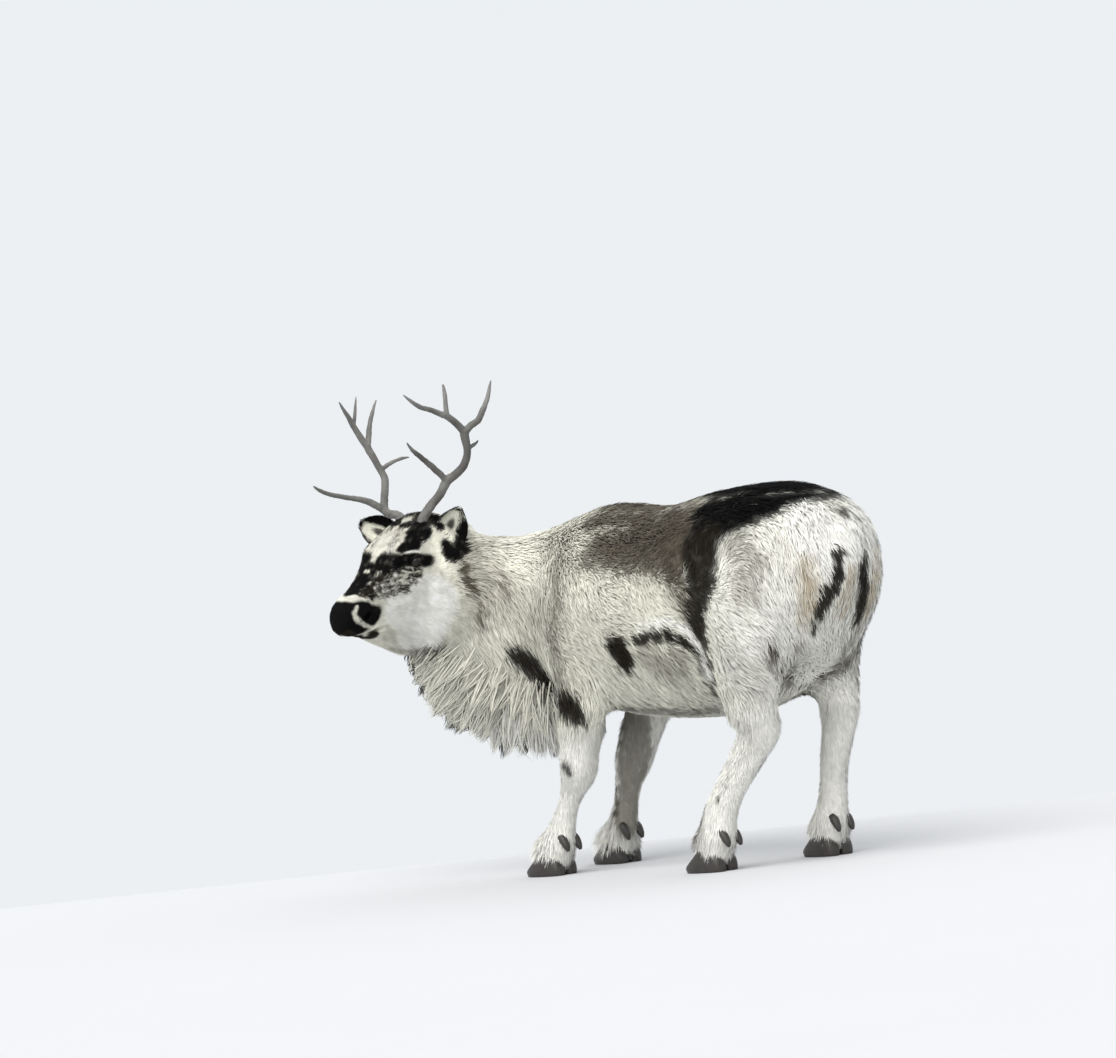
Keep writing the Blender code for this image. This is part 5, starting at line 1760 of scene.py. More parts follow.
class Coat:
    """Grows the tufts of every zone over the skin."""

    root_sink = 0.0012
    floor_gap = 0.004
    draws_a_cell = 3.0
    wave_size = 0.06
    wave_strength = 0.35
    length_spread = (0.72, 1.15)
    width_spread = (0.7, 1.2)
    lift_spread = (0.75, 1.25)
    cell_jitter = 0.12
    turn_jitter = 0.25
    colour_at = 0.6
    colour_out = 0.004
    tuft_spread = 0.045
    clump_spread = 0.035
    drift = 0.07
    drift_size = 0.028
    root_shade = 0.93
    tip_light = 1.03
    ear_reach = (0.02, 0.97)
    ear_length = 0.0085
    ear_root_more = 0.003
    ear_bright = (0.8, 1.2)
    ear_root_shade = 0.9
    ear_tip_light = 1.05

    def __init__(self, skin: Shell, sparse: float) -> None:
        """Measure the skin once for all the zones.

        Args:
            skin: the skin without its ears.
        """
        self.skin = skin
        self.sparse = sparse
        self.normals = skin.normals()
        self.zones = COAT.zone(skin.verts[skin.faces].mean(1))

    def scatter(self, shell: Shell, normals: Array, faces: Array, spacing: float,
                dice: np.random.Generator) -> Tuple[Array, Array]:
        """Spread roots over faces: draws by area, then one root kept a cell of the spacing.

        Args:
            shell: the surface.
            normals: its vertex normals.
            faces: the triangles to grow on.
            spacing: the cell's side.
            dice: the random draws.

        Returns:
            Root places and outward directions.
        """
        corners = shell.verts[faces]
        across = np.cross(corners[:, 1] - corners[:, 0], corners[:, 2] - corners[:, 0])
        areas = 0.5 * np.linalg.norm(across, axis=1)
        count = int(self.draws_a_cell * areas.sum() / spacing ** 2)
        pick = dice.choice(len(faces), count, p=areas / areas.sum())
        first, second = np.sqrt(dice.random(count)), dice.random(count)
        weights = np.stack([1 - first, first * (1 - second), first * second], axis=1)[..., None]
        points = (corners[pick] * weights).sum(1)
        outs = unit((normals[faces[pick]] * weights).sum(1))
        cells = np.floor(points / spacing).astype(np.int64)
        keys = (cells[:, 0] * 73856093) ^ (cells[:, 1] * 19349663) ^ (cells[:, 2] * 83492791)
        _, kept = np.unique(keys, return_index=True)
        kept.sort()
        return points[kept], outs[kept]

    def grow(self, roots: Array, outs: Array, lies: Array, lengths: Array, pelt: Pelt,
             dice: np.random.Generator) -> Strands:
        """Bend each tuft from its root towards the lie, and gather tips into clumps.

        Each step of a tuft runs along cosine of its lift times the lie plus sine of its
        lift times the outward way. Tips move part of the way to their clump's mean tip.

        Args:
            roots: root places.
            outs: outward directions.
            lies: the way that the hair runs.
            lengths: tuft lengths.
            pelt: the zone's own growth.
            dice: the random draws.

        Returns:
            The tufts.
        """
        count = len(roots)
        lies = lies + dice.normal(0, pelt.frizz, (count, 3))
        wave = np.stack([noise(roots, self.wave_size, 70 + i) for i in range(3)], axis=1)
        lies = lies + self.wave_strength * wave
        lies = unit(lies - outs * (lies * outs).sum(1, keepdims=True))
        lengths = lengths * pelt.scale * dice.uniform(*self.length_spread, count)
        steps = pelt.rings
        points = [roots - outs * self.root_sink]
        for step in range(steps):
            blend = step / max(steps - 1, 1)
            lift = np.radians(pelt.lift[0] * (1 - blend) + pelt.lift[1] * blend)
            lift = lift * dice.uniform(*self.lift_spread, count)
            way = lies * np.cos(lift)[:, None] + outs * np.sin(lift)[:, None]
            points.append(points[-1] + way * (lengths / steps)[:, None])
        lines = np.stack(points, axis=1)
        lines[..., 2] = np.maximum(lines[..., 2], self.floor_gap)
        cells = np.floor(roots / pelt.clump + dice.normal(0, self.cell_jitter, (count, 3)))
        _, clump = np.unique(cells.astype(np.int64), axis=0, return_inverse=True)
        clump = clump.ravel()
        size = np.bincount(clump)
        mean = np.stack([np.bincount(clump, lines[:, -1, i]) / size for i in range(3)], axis=1)
        lines[:, -1] += (mean[clump] - lines[:, -1]) * pelt.gather
        middle = lines[:, -1] * self.colour_at + lines[:, 0] * (1 - self.colour_at)
        tints = PATTERN.colour(middle + outs * self.colour_out, dice.random(count))
        bright = 1.0 + self.tuft_spread * dice.normal(0, 1, count)
        bright = bright + self.clump_spread * dice.normal(0, 1, len(size))[clump]
        bright = bright + self.drift * noise(roots, self.drift_size, 81, 2)
        bright = np.clip(bright, *FULL_BRIGHT)[:, None]
        return Strands(
            lines=lines,
            sides=unit(np.cross(outs, lies) + dice.normal(0, self.turn_jitter, (count, 3))),
            outs=outs,
            widths=pelt.width * dice.uniform(*self.width_spread, count) * self.sparse,
            roots=roots,
            root_tints=tints * bright * self.root_shade,
            tip_tints=tints * bright * self.tip_light,
            uv=COAT.unwrap(roots, pelt.zone),
        )

    def ear(self, ear: Ear, dice: np.random.Generator) -> Strands:
        """Grow short hair over an ear, all of it running to the tip.

        Args:
            ear: the ear.
            dice: the random draws.

        Returns:
            The tufts, with the ear's own colours.
        """
        shell = ear.build()
        normals = shell.normals()
        roots, outs = self.scatter(
            shell, normals, shell.faces, EAR_PELT.spacing * self.sparse, dice)
        axis, _, _, length = ear.frame_of()
        height = (HEAD.to_head(roots) - np.array(ear.base)) @ axis / length
        kept = (height > self.ear_reach[0]) & (height < self.ear_reach[1])
        roots, outs = roots[kept], outs[kept]
        lies = np.tile(axis @ HEAD.axes(), (len(roots), 1))
        lengths = self.ear_length + self.ear_root_more * ease(height[kept], 0.8, 0.2)
        strands = self.grow(roots, outs, lies, lengths, EAR_PELT, dice)
        _, tints = ear.tints(roots, outs)
        bright = dice.uniform(*self.ear_bright, (len(roots), 1))
        strands.root_tints = tints * bright * self.ear_root_shade
        strands.tip_tints = tints * bright * self.ear_tip_light
        return strands

    def zone(self, pelt: Pelt, dice: np.random.Generator) -> Strands:
        """Grow one zone's tufts.

        Args:
            pelt: how it grows there.
            dice: the random draws.

        Returns:
            The tufts.
        """
        faces = self.skin.faces[self.zones == pelt.zone.value]
        roots, outs = self.scatter(self.skin, self.normals, faces, pelt.spacing * self.sparse, dice)
        return self.grow(roots, outs, COAT.lie(roots), COAT.length(roots), pelt, dice)


@dataclass(frozen=True)
class ThroatMane:
    """Long hanging locks under throat and neck, each a sheaf of thin strands."""

    tiers: Tuple[Tuple[float, float, float, int], ...] = (
        (-60, 6, 1.10, 16), (-35, 28, 1.10, 18), (-10, 48, 1.07, 20), (14, 68, 1.05, 20),
        (36, 82, 1.02, 20), (60, 92, 0.98, 18),
    )
    strands: int = 40
    span: float = 0.92
    fan: float = 0.024
    hang: float = 0.020
    push: float = 0.016
    root_share: float = 0.62
    sheaf: float = 0.020
    spreads: Tuple[float, float, float] = (0.8, 0.55, 0.09)
    width: float = 0.0034
    rings: int = 3
    place_spread: Tuple[float, float] = (0.2, 0.8)
    reach_spread: Tuple[float, float] = (0.84, 1.12)
    hang_spread: Tuple[float, float] = (0.4, 1.5)
    angle_spread: float = 5.0
    length_spread: Tuple[float, float] = (0.80, 1.03)
    width_spread: Tuple[float, float] = (0.7, 1.2)
    tip_jitter: float = 0.0015
    turn_jitter: float = 0.3
    floor_gap: float = 0.01
    strand_spread: float = 0.05
    lock_spread: float = 0.08
    root_shade: float = 0.78
    tip_light: float = 1.04

    def build(self, sparse: float, dice: np.random.Generator) -> Strands:
        """Hang the locks in tiers, each from the mane's side down and towards the throat.

        A strand is a quadratic curve from a root near its lock's root, over a knee pushed
        outwards, to a tip near its lock's tip.

        Args:
            dice: the random draws.

        Returns:
            The strands.
        """
        line = MANE_LINE
        roots, knees, tips, outs = [], [], [], []
        for root_angle, tip_angle, reach, count in self.tiers:
            for side in (1.0, -1.0):
                share = (np.arange(count) + dice.uniform(*self.place_spread, count)) / count
                share = share * self.span
                at = np.minimum((share * len(line.rows)).astype(int), len(line.rows) - 1)
                rows, up, across = line.rows[at], line.upward[at], line.sideways[at] * side
                ends = []
                for angle, scale in ((root_angle, self.root_share), (tip_angle, reach)):
                    turn = np.radians(angle + dice.normal(0, self.angle_spread, count))[:, None]
                    depth = np.where(turn < 0, rows[:, 4:5], rows[:, 5:6])
                    scale = scale * dice.uniform(*self.reach_spread, (count, 1))
                    ends.append(rows[:, :3] + across * rows[:, 3:4] * np.cos(turn) * scale
                                - up * depth * np.sin(turn) * scale)
                forward = -line.tangents[at]
                tip = ends[1] + forward * (self.fan * (1 - share))[:, None]
                tip[:, 2] -= self.hang * dice.uniform(*self.hang_spread, count)
                out = unit(across * np.cos(turn) - up * np.sin(turn) + across * 0.5)
                roots.append(ends[0])
                tips.append(tip)
                knees.append((ends[0] + tip) / 2 + out * self.push)
                outs.append(out)
        root, knee, tip, out = (np.vstack(part) for part in (roots, knees, tips, outs))
        many = max(int(self.strands / sparse), 6)
        count = len(root) * many
        lock = np.repeat(np.arange(len(root)), many)
        spread = dice.normal(0, 1, (count, 3))
        start, bend, end = (place[lock] + spread * self.sheaf * share for place, share in zip(
            (root, knee, tip), self.spreads))
        end = end + dice.normal(0, self.tip_jitter, (count, 3))
        end = start + (end - start) * dice.uniform(*self.length_spread, (count, 1))
        t = (np.arange(self.rings + 1) / self.rings)[None, :, None]
        lines = (start[:, None] * (1 - t) ** 2 + bend[:, None] * 2 * t * (1 - t)
                 + end[:, None] * t ** 2)
        lines[..., 2] = np.maximum(lines[..., 2], self.floor_gap)
        run = unit(end - start)
        outward = out[lock]
        tints = PATTERN.colour(lines[:, 2], dice.random(count))
        bright = 1.0 + self.strand_spread * dice.normal(0, 1, count)
        bright = bright + self.lock_spread * dice.normal(0, 1, len(root))[lock]
        bright = np.clip(bright, *FULL_BRIGHT)[:, None]
        return Strands(
            lines=lines,
            sides=unit(np.cross(outward, run) + dice.normal(0, self.turn_jitter, (count, 3))),
            outs=outward,
            widths=self.width * dice.uniform(*self.width_spread, count) * sparse,
            roots=start,
            root_tints=tints * bright * self.root_shade,
            tip_tints=tints * bright * self.tip_light,
            uv=COAT.unwrap(start, Zone.THROAT),
        )


# Antlers, hooves and eyes


ANTLERS: Dict[str, List[List[Row]]] = {
    "antler_left": [
        metres([(-175, -240, 765, 13.5), (-165, -244, 785, 13), (-147, -227, 821, 11.5),
                 (-130, -210, 845, 11), (-116, -197, 873, 11.8), (-99, -187, 885, 10.8),
                 (-81, -178, 900, 10.4), (-68, -175, 921, 9.8), (-60, -178, 940, 9.8),
                 (-58, -183, 962, 10.8), (-56, -185, 980, 11.8)]),
        metres([(-116, -197, 873, 8.8), (-116, -215, 890, 8.2), (-116, -241, 912, 7.7),
                 (-114, -268, 932, 6.6), (-111, -292, 949, 5), (-106, -309, 965, 2.2)]),
        metres([(-56, -184, 974, 9.8), (-50, -172, 987, 9), (-42, -154, 998, 8.2),
                 (-40, -139, 1019, 7.6), (-39, -125, 1040, 6), (-39, -116, 1061, 4.4),
                 (-38, -108, 1082, 2)]),
        metres([(-57, -184, 976, 9.8), (-60, -200, 994, 9), (-60, -224, 1012, 8.6),
                 (-59, -246, 1020, 7.7), (-57, -275, 1031, 6.6), (-58, -302, 1039, 6),
                 (-60, -322, 1052, 4.8), (-66, -340, 1069, 2)]),
        metres([(-60, -177, 938, 6), (-57, -166, 944, 5), (-54, -156, 949, 3.8),
                (-52, -151, 955, 2)]),
        metres([(-60, -226, 1010, 6.8), (-60, -227, 1031, 6.4), (-60, -226, 1053, 5.5),
                 (-61, -226, 1071, 4.3), (-62, -227, 1084, 2)]),
    ],
    "antler_right": [
        metres([(-213, -234, 765, 13.5), (-223, -236, 785, 13), (-238, -243, 808, 11.5),
                 (-262, -249, 815, 11), (-279, -245, 827, 10.5), (-290, -233, 845, 9.8),
                 (-303, -217, 867, 9.8), (-312, -206, 889, 9.3), (-320, -205, 905, 9),
                 (-327, -209, 921, 8.8), (-331, -217, 942, 8.8), (-336, -223, 958, 9),
                 (-338, -226, 972, 9.2)]),
        metres([(-275, -249, 822, 9.2), (-288, -268, 840, 9), (-297, -291, 851, 7.7),
                 (-305, -318, 858, 6.6), (-314, -352, 867, 6), (-318, -376, 875, 5.5),
                 (-320, -393, 884, 4.4), (-322, -405, 893, 2)]),
        metres([(-321, -207, 911, 6.4), (-317, -189, 921, 5.5), (-311, -172, 928, 4.8),
                 (-305, -156, 932, 4), (-298, -141, 933, 2)]),
        metres([(-338, -226, 966, 8.6), (-342, -234, 981, 8.2), (-346, -243, 1000, 7.7),
                 (-348, -253, 1019, 7), (-349, -261, 1035, 6), (-350, -273, 1054, 4.4),
                 (-350, -282, 1070, 2)]),
        metres([(-337, -225, 966, 8.4), (-342, -215, 984, 7.7), (-350, -203, 1006, 6.6),
                 (-358, -188, 1028, 5.5), (-366, -172, 1047, 4.5), (-371, -157, 1066, 2)]),
        metres([(-348, -250, 1012, 5.5), (-351, -242, 1031, 4.6), (-356, -232, 1053, 3.8),
                 (-361, -222, 1079, 2)]),
    ],
}


@dataclass(frozen=True)
class Antler:
    """One antler: branches fused into one bone, with furrows and beads near its burr."""

    name: str
    voxel: float = 0.0017
    passes: int = 4
    furrow: float = 0.0009
    furrow_size: float = 0.006
    bead: float = 1.6
    bead_size: float = 0.005
    burr_ends: Tuple[float, float] = (0.86, 0.79)
    wear: float = 0.35
    wear_ends: Tuple[float, float] = (1.00, 1.08)
    girth: float = 0.90
    dark: Point = (0.052, 0.049, 0.045)
    grey: Point = (0.200, 0.197, 0.185)

    def build(self) -> bpy.types.Object:
        """Fuse the branches, roughen them with two scales of noise, and colour them.

        Returns:
            The piece, dark bone mottled with grey and worn paler at its tips.
        """
        branches = [[(*row[:3], row[3] * self.girth) for row in rows]
                    for rows in ANTLERS[self.name]]
        shell = fused([tube(rows, 14, 4) for rows in branches], self.voxel, self.passes)
        grain = shell.verts * np.array([1.0, 1.0, 0.35])
        low = ease(shell.verts[:, 2], *self.burr_ends)
        rough = self.furrow * noise(grain, self.furrow_size, 90, 2)
        rough = rough + self.furrow * self.bead * low * noise(shell.verts, self.bead_size, 95)
        shell = shell.moved(shell.normals() * rough[:, None])
        mesh = new_mesh(self.name, shell)
        worn = ease(shell.verts[:, 2], *self.wear_ends)[:, None] * self.wear
        mix = (0.5 + 0.5 * noise(shell.verts, 0.03, 33, 2))[:, None]
        dark, grey = np.array(self.dark), np.array(self.grey)
        TUFT.paint(mesh, dark + (grey - dark) * np.clip(mix * 0.9 + worn, 0, 1))
        return new_object(self.name, mesh)


@dataclass(frozen=True)
class Foot:
    """Two broad splayed claws and two dewclaws."""

    name: str
    at: Tuple[float, float]
    turn: float
    spacing: float = 0.0208
    splay: float = math.radians(5)
    dew_height: float = 0.074
    dew_spacing: float = 0.019
    dew_radius: float = 0.0095
    dew_tuck: float = 0.009
    dew_length: float = 0.034
    top: float = 0.0455
    growth_ring: float = 0.0003
    growth_pitch: float = 900.0
    claw_half: float = 0.018
    claw: Tuple[Row, ...] = (
        (-0.044, 0.0, 0.010, 0.008, 0.010, 0.016),
        (-0.036, 0.0, 0.010, 0.0155, 0.026, 0.018),
        (-0.016, 0.0, 0.010, 0.0188, 0.044, 0.020),
        (0.010, 0.0, 0.010, 0.0190, 0.042, 0.020),
        (0.032, 0.0, 0.010, 0.0160, 0.022, 0.018),
        (0.046, 0.0, 0.009, 0.0100, 0.010, 0.014),
        (0.053, 0.0, 0.007, 0.0040, 0.004, 0.010),
    )

    def stand(self, verts: Array) -> Array:
        """Turn foot places, toes along +X, to where the foot stands.

        Args:
            verts: places in the foot's own frame.

        Returns:
            Places in the body.
        """
        angle = math.pi + self.turn
        turned = verts.copy()
        turned[:, 0] = verts[:, 0] * math.cos(angle) - verts[:, 1] * math.sin(angle) + self.at[0]
        turned[:, 1] = verts[:, 0] * math.sin(angle) + verts[:, 1] * math.cos(angle) + self.at[1]
        return turned

    def build(self) -> bpy.types.Object:
        """Loft the claws, flatten their soles and tops, and set the dewclaws behind.

        Returns:
            The piece.
        """
        shells = []
        line = LEG_LINES[self.name].rows
        row = line[int(np.argmin(np.abs(line[:, 2] - self.dew_height)))]
        back = -(row[0] + row[5] * 0.88 - self.dew_tuck - self.at[0])
        for side in (1.0, -1.0):
            claw = loft(self.claw, (0, 0, 1), 40, 8, 0.85)
            claw.verts[:, 2] = np.clip(claw.verts[:, 2], 0.0, self.top)
            phase = claw.verts[:, 2] * self.growth_pitch
            ring = self.growth_ring * np.sin(phase + 3.0 * noise(claw.verts, 0.02, 7))
            claw.verts[:, 1] *= 1.0 + ring / self.claw_half
            angle = -side * self.splay
            x, y = claw.verts[:, 0].copy(), claw.verts[:, 1].copy()
            claw.verts[:, 0] = x * math.cos(angle) - y * math.sin(angle)
            claw.verts[:, 1] = x * math.sin(angle) + y * math.cos(angle) - side * self.spacing
            r = self.dew_radius
            rows = [(0.0, 0.0, 0.012, r * 0.8), (-0.008, 0.0, 0.002, r),
                    (-0.016, 0.0, -0.012, r * 0.8),
                    (-0.020, 0.0, 0.012 - self.dew_length, r * 0.35)]
            dew = tube(rows, 20, 6)
            dew.verts += np.array([back, -side * self.dew_spacing, self.dew_height])
            shells += [claw, dew]
        shell = merge(shells)
        shell.verts = self.stand(shell.verts)
        name = f"hoof_{self.name}"
        mesh = new_mesh(name, shell)
        face_outwards(mesh)
        return new_object(name, mesh)


FEET = [
    Foot("fore_left", (0.040, -0.145), math.radians(4)),
    Foot("fore_right", (0.006, 0.080), math.radians(-3)),
    Foot("hind_left", (0.552, -0.150), math.radians(5)),
    Foot("hind_right", (0.632, 0.115), math.radians(-4)),
]


@dataclass(frozen=True)
class Eye:
    """An eyeball with a clear bulge over a dark iris and a level pupil."""

    name: str
    flip: Array
    bulge: float = 0.035

    def build(self) -> bpy.types.Object:
        """Carry a half circle round the outward axis, with a slight bulge at its middle.

        Returns:
            The piece, with the attribute Gaze: long, short and outward run over the radius.
        """
        out = unit(EYE_OUT * self.flip)
        long = unit(np.cross(out, np.array(UPWARDS)))
        short = np.cross(long, out)
        polar = np.linspace(0.0, math.pi, 42)[1:-1]
        turn = np.linspace(0, 2 * math.pi, 56, endpoint=False)
        far = EYE_RADIUS * (1.0 + self.bulge * np.exp(-(polar / 0.45) ** 2))
        ring = np.cos(turn)[:, None] * long + np.sin(turn)[:, None] * short
        rings = (far * np.cos(polar))[:, None, None] * out + (
            far * np.sin(polar))[:, None, None] * ring
        shell = close_rings(rings + EYE_AT * self.flip)
        look = (shell.verts - EYE_AT * self.flip) / EYE_RADIUS @ np.stack([long, short, out], 1)
        shell.verts = HEAD.to_body(shell.verts)
        mesh = new_mesh(f"{self.name}_ball", shell)
        face_outwards(mesh)
        layer = mesh.attributes.new("Gaze", "FLOAT_VECTOR", "POINT")
        layer.data.foreach_set("vector", look.astype(np.float32).ravel())
        return new_object(mesh.name, mesh)


EYES = [Eye("eye_left", SIDES[0]), Eye("eye_right", SIDES[1])]


# Materials


@dataclass(frozen=True)
class Finish:
    """Sizes of one material: shader values, a mottle's scale and strength, and a fine bump.

    The mottle's colour is fixed, or read from the attribute Tint where none is given.
    The grain is the bump's noise scale and its height.
    """

    name: str
    roughness: float
    specular: float
    mottle: Optional[Tuple[float, float]] = None
    colour: Optional[Point] = None
    grain: Optional[Tuple[float, float]] = None
    extras: Tuple[Tuple[str, float], ...] = ()


HAIR = Finish("Coat hair", 0.85, 0.07, (60.0, 0.35),
              extras=(("Sheen Weight", 0.015), ("Sheen Roughness", 0.5)))
UNDERFUR = Finish("Underfur", 0.85, 0.08, (260.0, 0.55), grain=(900.0, 0.0008))
BONE = Finish("Antler bone", 0.62, 0.35, (90.0, 0.7), grain=(420.0, 0.0006))
HORN = Finish("Hoof horn", 0.42, 0.45, (70.0, 0.9), (0.030, 0.026, 0.023))
WET = Finish("Eye", 0.10, 0.32, extras=(("Coat Weight", 0.12), ("Coat Roughness", 0.02)))
GROUND = Finish("Pale floor", 0.9, 0.1, (1.5, 0.02), (0.552, 0.558, 0.576))
IRIS = ((0.0, (0.002, 0.002, 0.003)), (0.42, (0.003, 0.003, 0.004)),
        (0.52, (0.010, 0.007, 0.005)), (0.90, (0.016, 0.011, 0.007)),
        (1.0, (0.010, 0.007, 0.005)))


def node(tree: bpy.types.NodeTree, kind: str, **values: object) -> bpy.types.Node:
    """Add a node and set its named properties or inputs.

    Args:
        tree: where it goes.
        kind: the node's type.
        **values: properties of the node, or inputs by name with _ for a space.

    Returns:
        The node.
    """
    made = tree.nodes.new(kind)
    for key, value in values.items():
        if hasattr(made, key):
            setattr(made, key, value)
        else:
            made.inputs[key.replace("_", " ")].default_value = value
    return made


def join(tree: bpy.types.NodeTree, *stops: Tuple[bpy.types.Node, Socket, Socket]) -> None:
    """Chain nodes: each stop's output runs into the next stop's input.

    Args:
        tree: where the nodes are.
        *stops: node, the input that it takes and the output that it gives.
    """
    for (source, _, output), (target, socket, _) in zip(stops[:-1], stops[1:]):
        tree.links.new(source.outputs[output], target.inputs[socket])


def mottle_group() -> bpy.types.NodeTree:
    """Build the group that mottles a colour: two scales of noise brighten and darken it.

    Returns:
        The group, with colour, size and strength in, and colour and mask out.
    """
    group = bpy.data.node_groups.new("Mottle", "ShaderNodeTree")
    for name, way, kind in (
        ("Color", "INPUT", "NodeSocketColor"), ("Scale", "INPUT", "NodeSocketFloat"),
        ("Strength", "INPUT", "NodeSocketFloat"), ("Color", "OUTPUT", "NodeSocketColor"),
        ("Mask", "OUTPUT", "NodeSocketFloat"),
    ):
        group.interface.new_socket(name=name, in_out=way, socket_type=kind)
    into, out = node(group, "NodeGroupInput"), node(group, "NodeGroupOutput")
    place = node(group, "ShaderNodeTexCoord")
    grain = node(group, "ShaderNodeTexNoise", Detail=3.0, Roughness=0.6)
    centred = node(group, "ShaderNodeMath", operation="SUBTRACT")
    centred.inputs[1].default_value = 0.5
    swing = node(group, "ShaderNodeMath", operation="MULTIPLY_ADD")
    swing.inputs[2].default_value = 1.0
    scaled = node(group, "ShaderNodeVectorMath", operation="SCALE")
    join(group, (place, None, "Object"), (grain, "Vector", "Fac"), (centred, 0, 0),
         (swing, 0, 0), (scaled, "Scale", 0), (out, "Color", None))
    join(group, (into, None, "Scale"), (grain, "Scale", "Fac"), (out, "Mask", None))
    join(group, (into, None, "Strength"), (swing, 1, None))
    join(group, (into, None, "Color"), (scaled, 0, None))
    return group


class Palette:
    """Makes the model's materials round one mottle group."""

    def __init__(self) -> None:
        """Build the mottle group once."""
        self.mottle = mottle_group()

    def make(self, finish: Finish) -> bpy.types.Material:
        """Build a material from its sizes.

        Args:
            finish: the sizes.

        Returns:
            The material.
        """
        material = bpy.data.materials.new(finish.name)
        material.use_nodes = True
        tree = material.node_tree
        shader = tree.nodes["Principled BSDF"]
        for name, value in (("Roughness", finish.roughness),
                            ("Specular IOR Level", finish.specular), *finish.extras):
            shader.inputs[name].default_value = value
        if finish.mottle:
            group = node(tree, "ShaderNodeGroup", node_tree=self.mottle)
            for name, value in zip(("Scale", "Strength"), finish.mottle):
                group.inputs[name].default_value = value
            if finish.colour:
                group.inputs["Color"].default_value = (*finish.colour, 1.0)
            else:
                tint = node(tree, "ShaderNodeAttribute", attribute_name="Tint")
                join(tree, (tint, None, "Color"), (group, "Color", None))
            join(tree, (group, None, "Color"), (shader, "Base Color", None))
        if finish.grain:
            grain = node(tree, "ShaderNodeTexNoise", Scale=finish.grain[0], Detail=4.0)
            self.bump(tree, grain, 0.6, finish.grain[1])
        return material

    def bump(self, tree: bpy.types.NodeTree, texture: bpy.types.Node, strength: float,
             height: float) -> None:
        """Raise a material's surface by a texture.

        Args:
            tree: the material's nodes.
            texture: the texture's node.
            strength: the bump's strength.
            height: its distance in metres.
        """
        place = node(tree, "ShaderNodeTexCoord")
        rise = node(tree, "ShaderNodeBump", Strength=strength, Distance=height)
        join(tree, (place, None, "Object"), (texture, "Vector", "Fac"), (rise, "Height", "Normal"),
             (tree.nodes["Principled BSDF"], "Normal", None))

    def hoof(self) -> bpy.types.Material:
        """Make horn: a nearly black mottle with level growth lines.

        Returns:
            The material.
        """
        material = self.make(HORN)
        lines = node(material.node_tree, "ShaderNodeTexWave", Scale=95.0, Distortion=1.6,
                     bands_direction="Z")
        self.bump(material.node_tree, lines, 0.35, 0.0006)
        return material

    def eye(self) -> bpy.types.Material:
        """Make the wet eye: a black level pupil in a dark brown iris under a clear coat.

        Returns:
            The material.
        """
        material = self.make(WET)
        tree = material.node_tree
        gaze = node(tree, "ShaderNodeAttribute", attribute_name="Gaze")
        squash = node(tree, "ShaderNodeVectorMath", operation="MULTIPLY")
        squash.inputs[1].default_value = (1.0, 1.9, 0.0)
        size = node(tree, "ShaderNodeVectorMath", operation="LENGTH")
        ramp = node(tree, "ShaderNodeValToRGB")
        while len(ramp.color_ramp.elements) < len(IRIS):
            ramp.color_ramp.elements.new(0.5)
        for element, (place, colour) in zip(ramp.color_ramp.elements, IRIS):
            element.position = place
            element.color = (*colour, 1.0)
        join(tree, (gaze, None, "Vector"), (squash, 0, 0), (size, 0, "Value"),
             (ramp, "Fac", "Color"), (tree.nodes["Principled BSDF"], "Base Color", None))
        return material


# Stage, camera and light


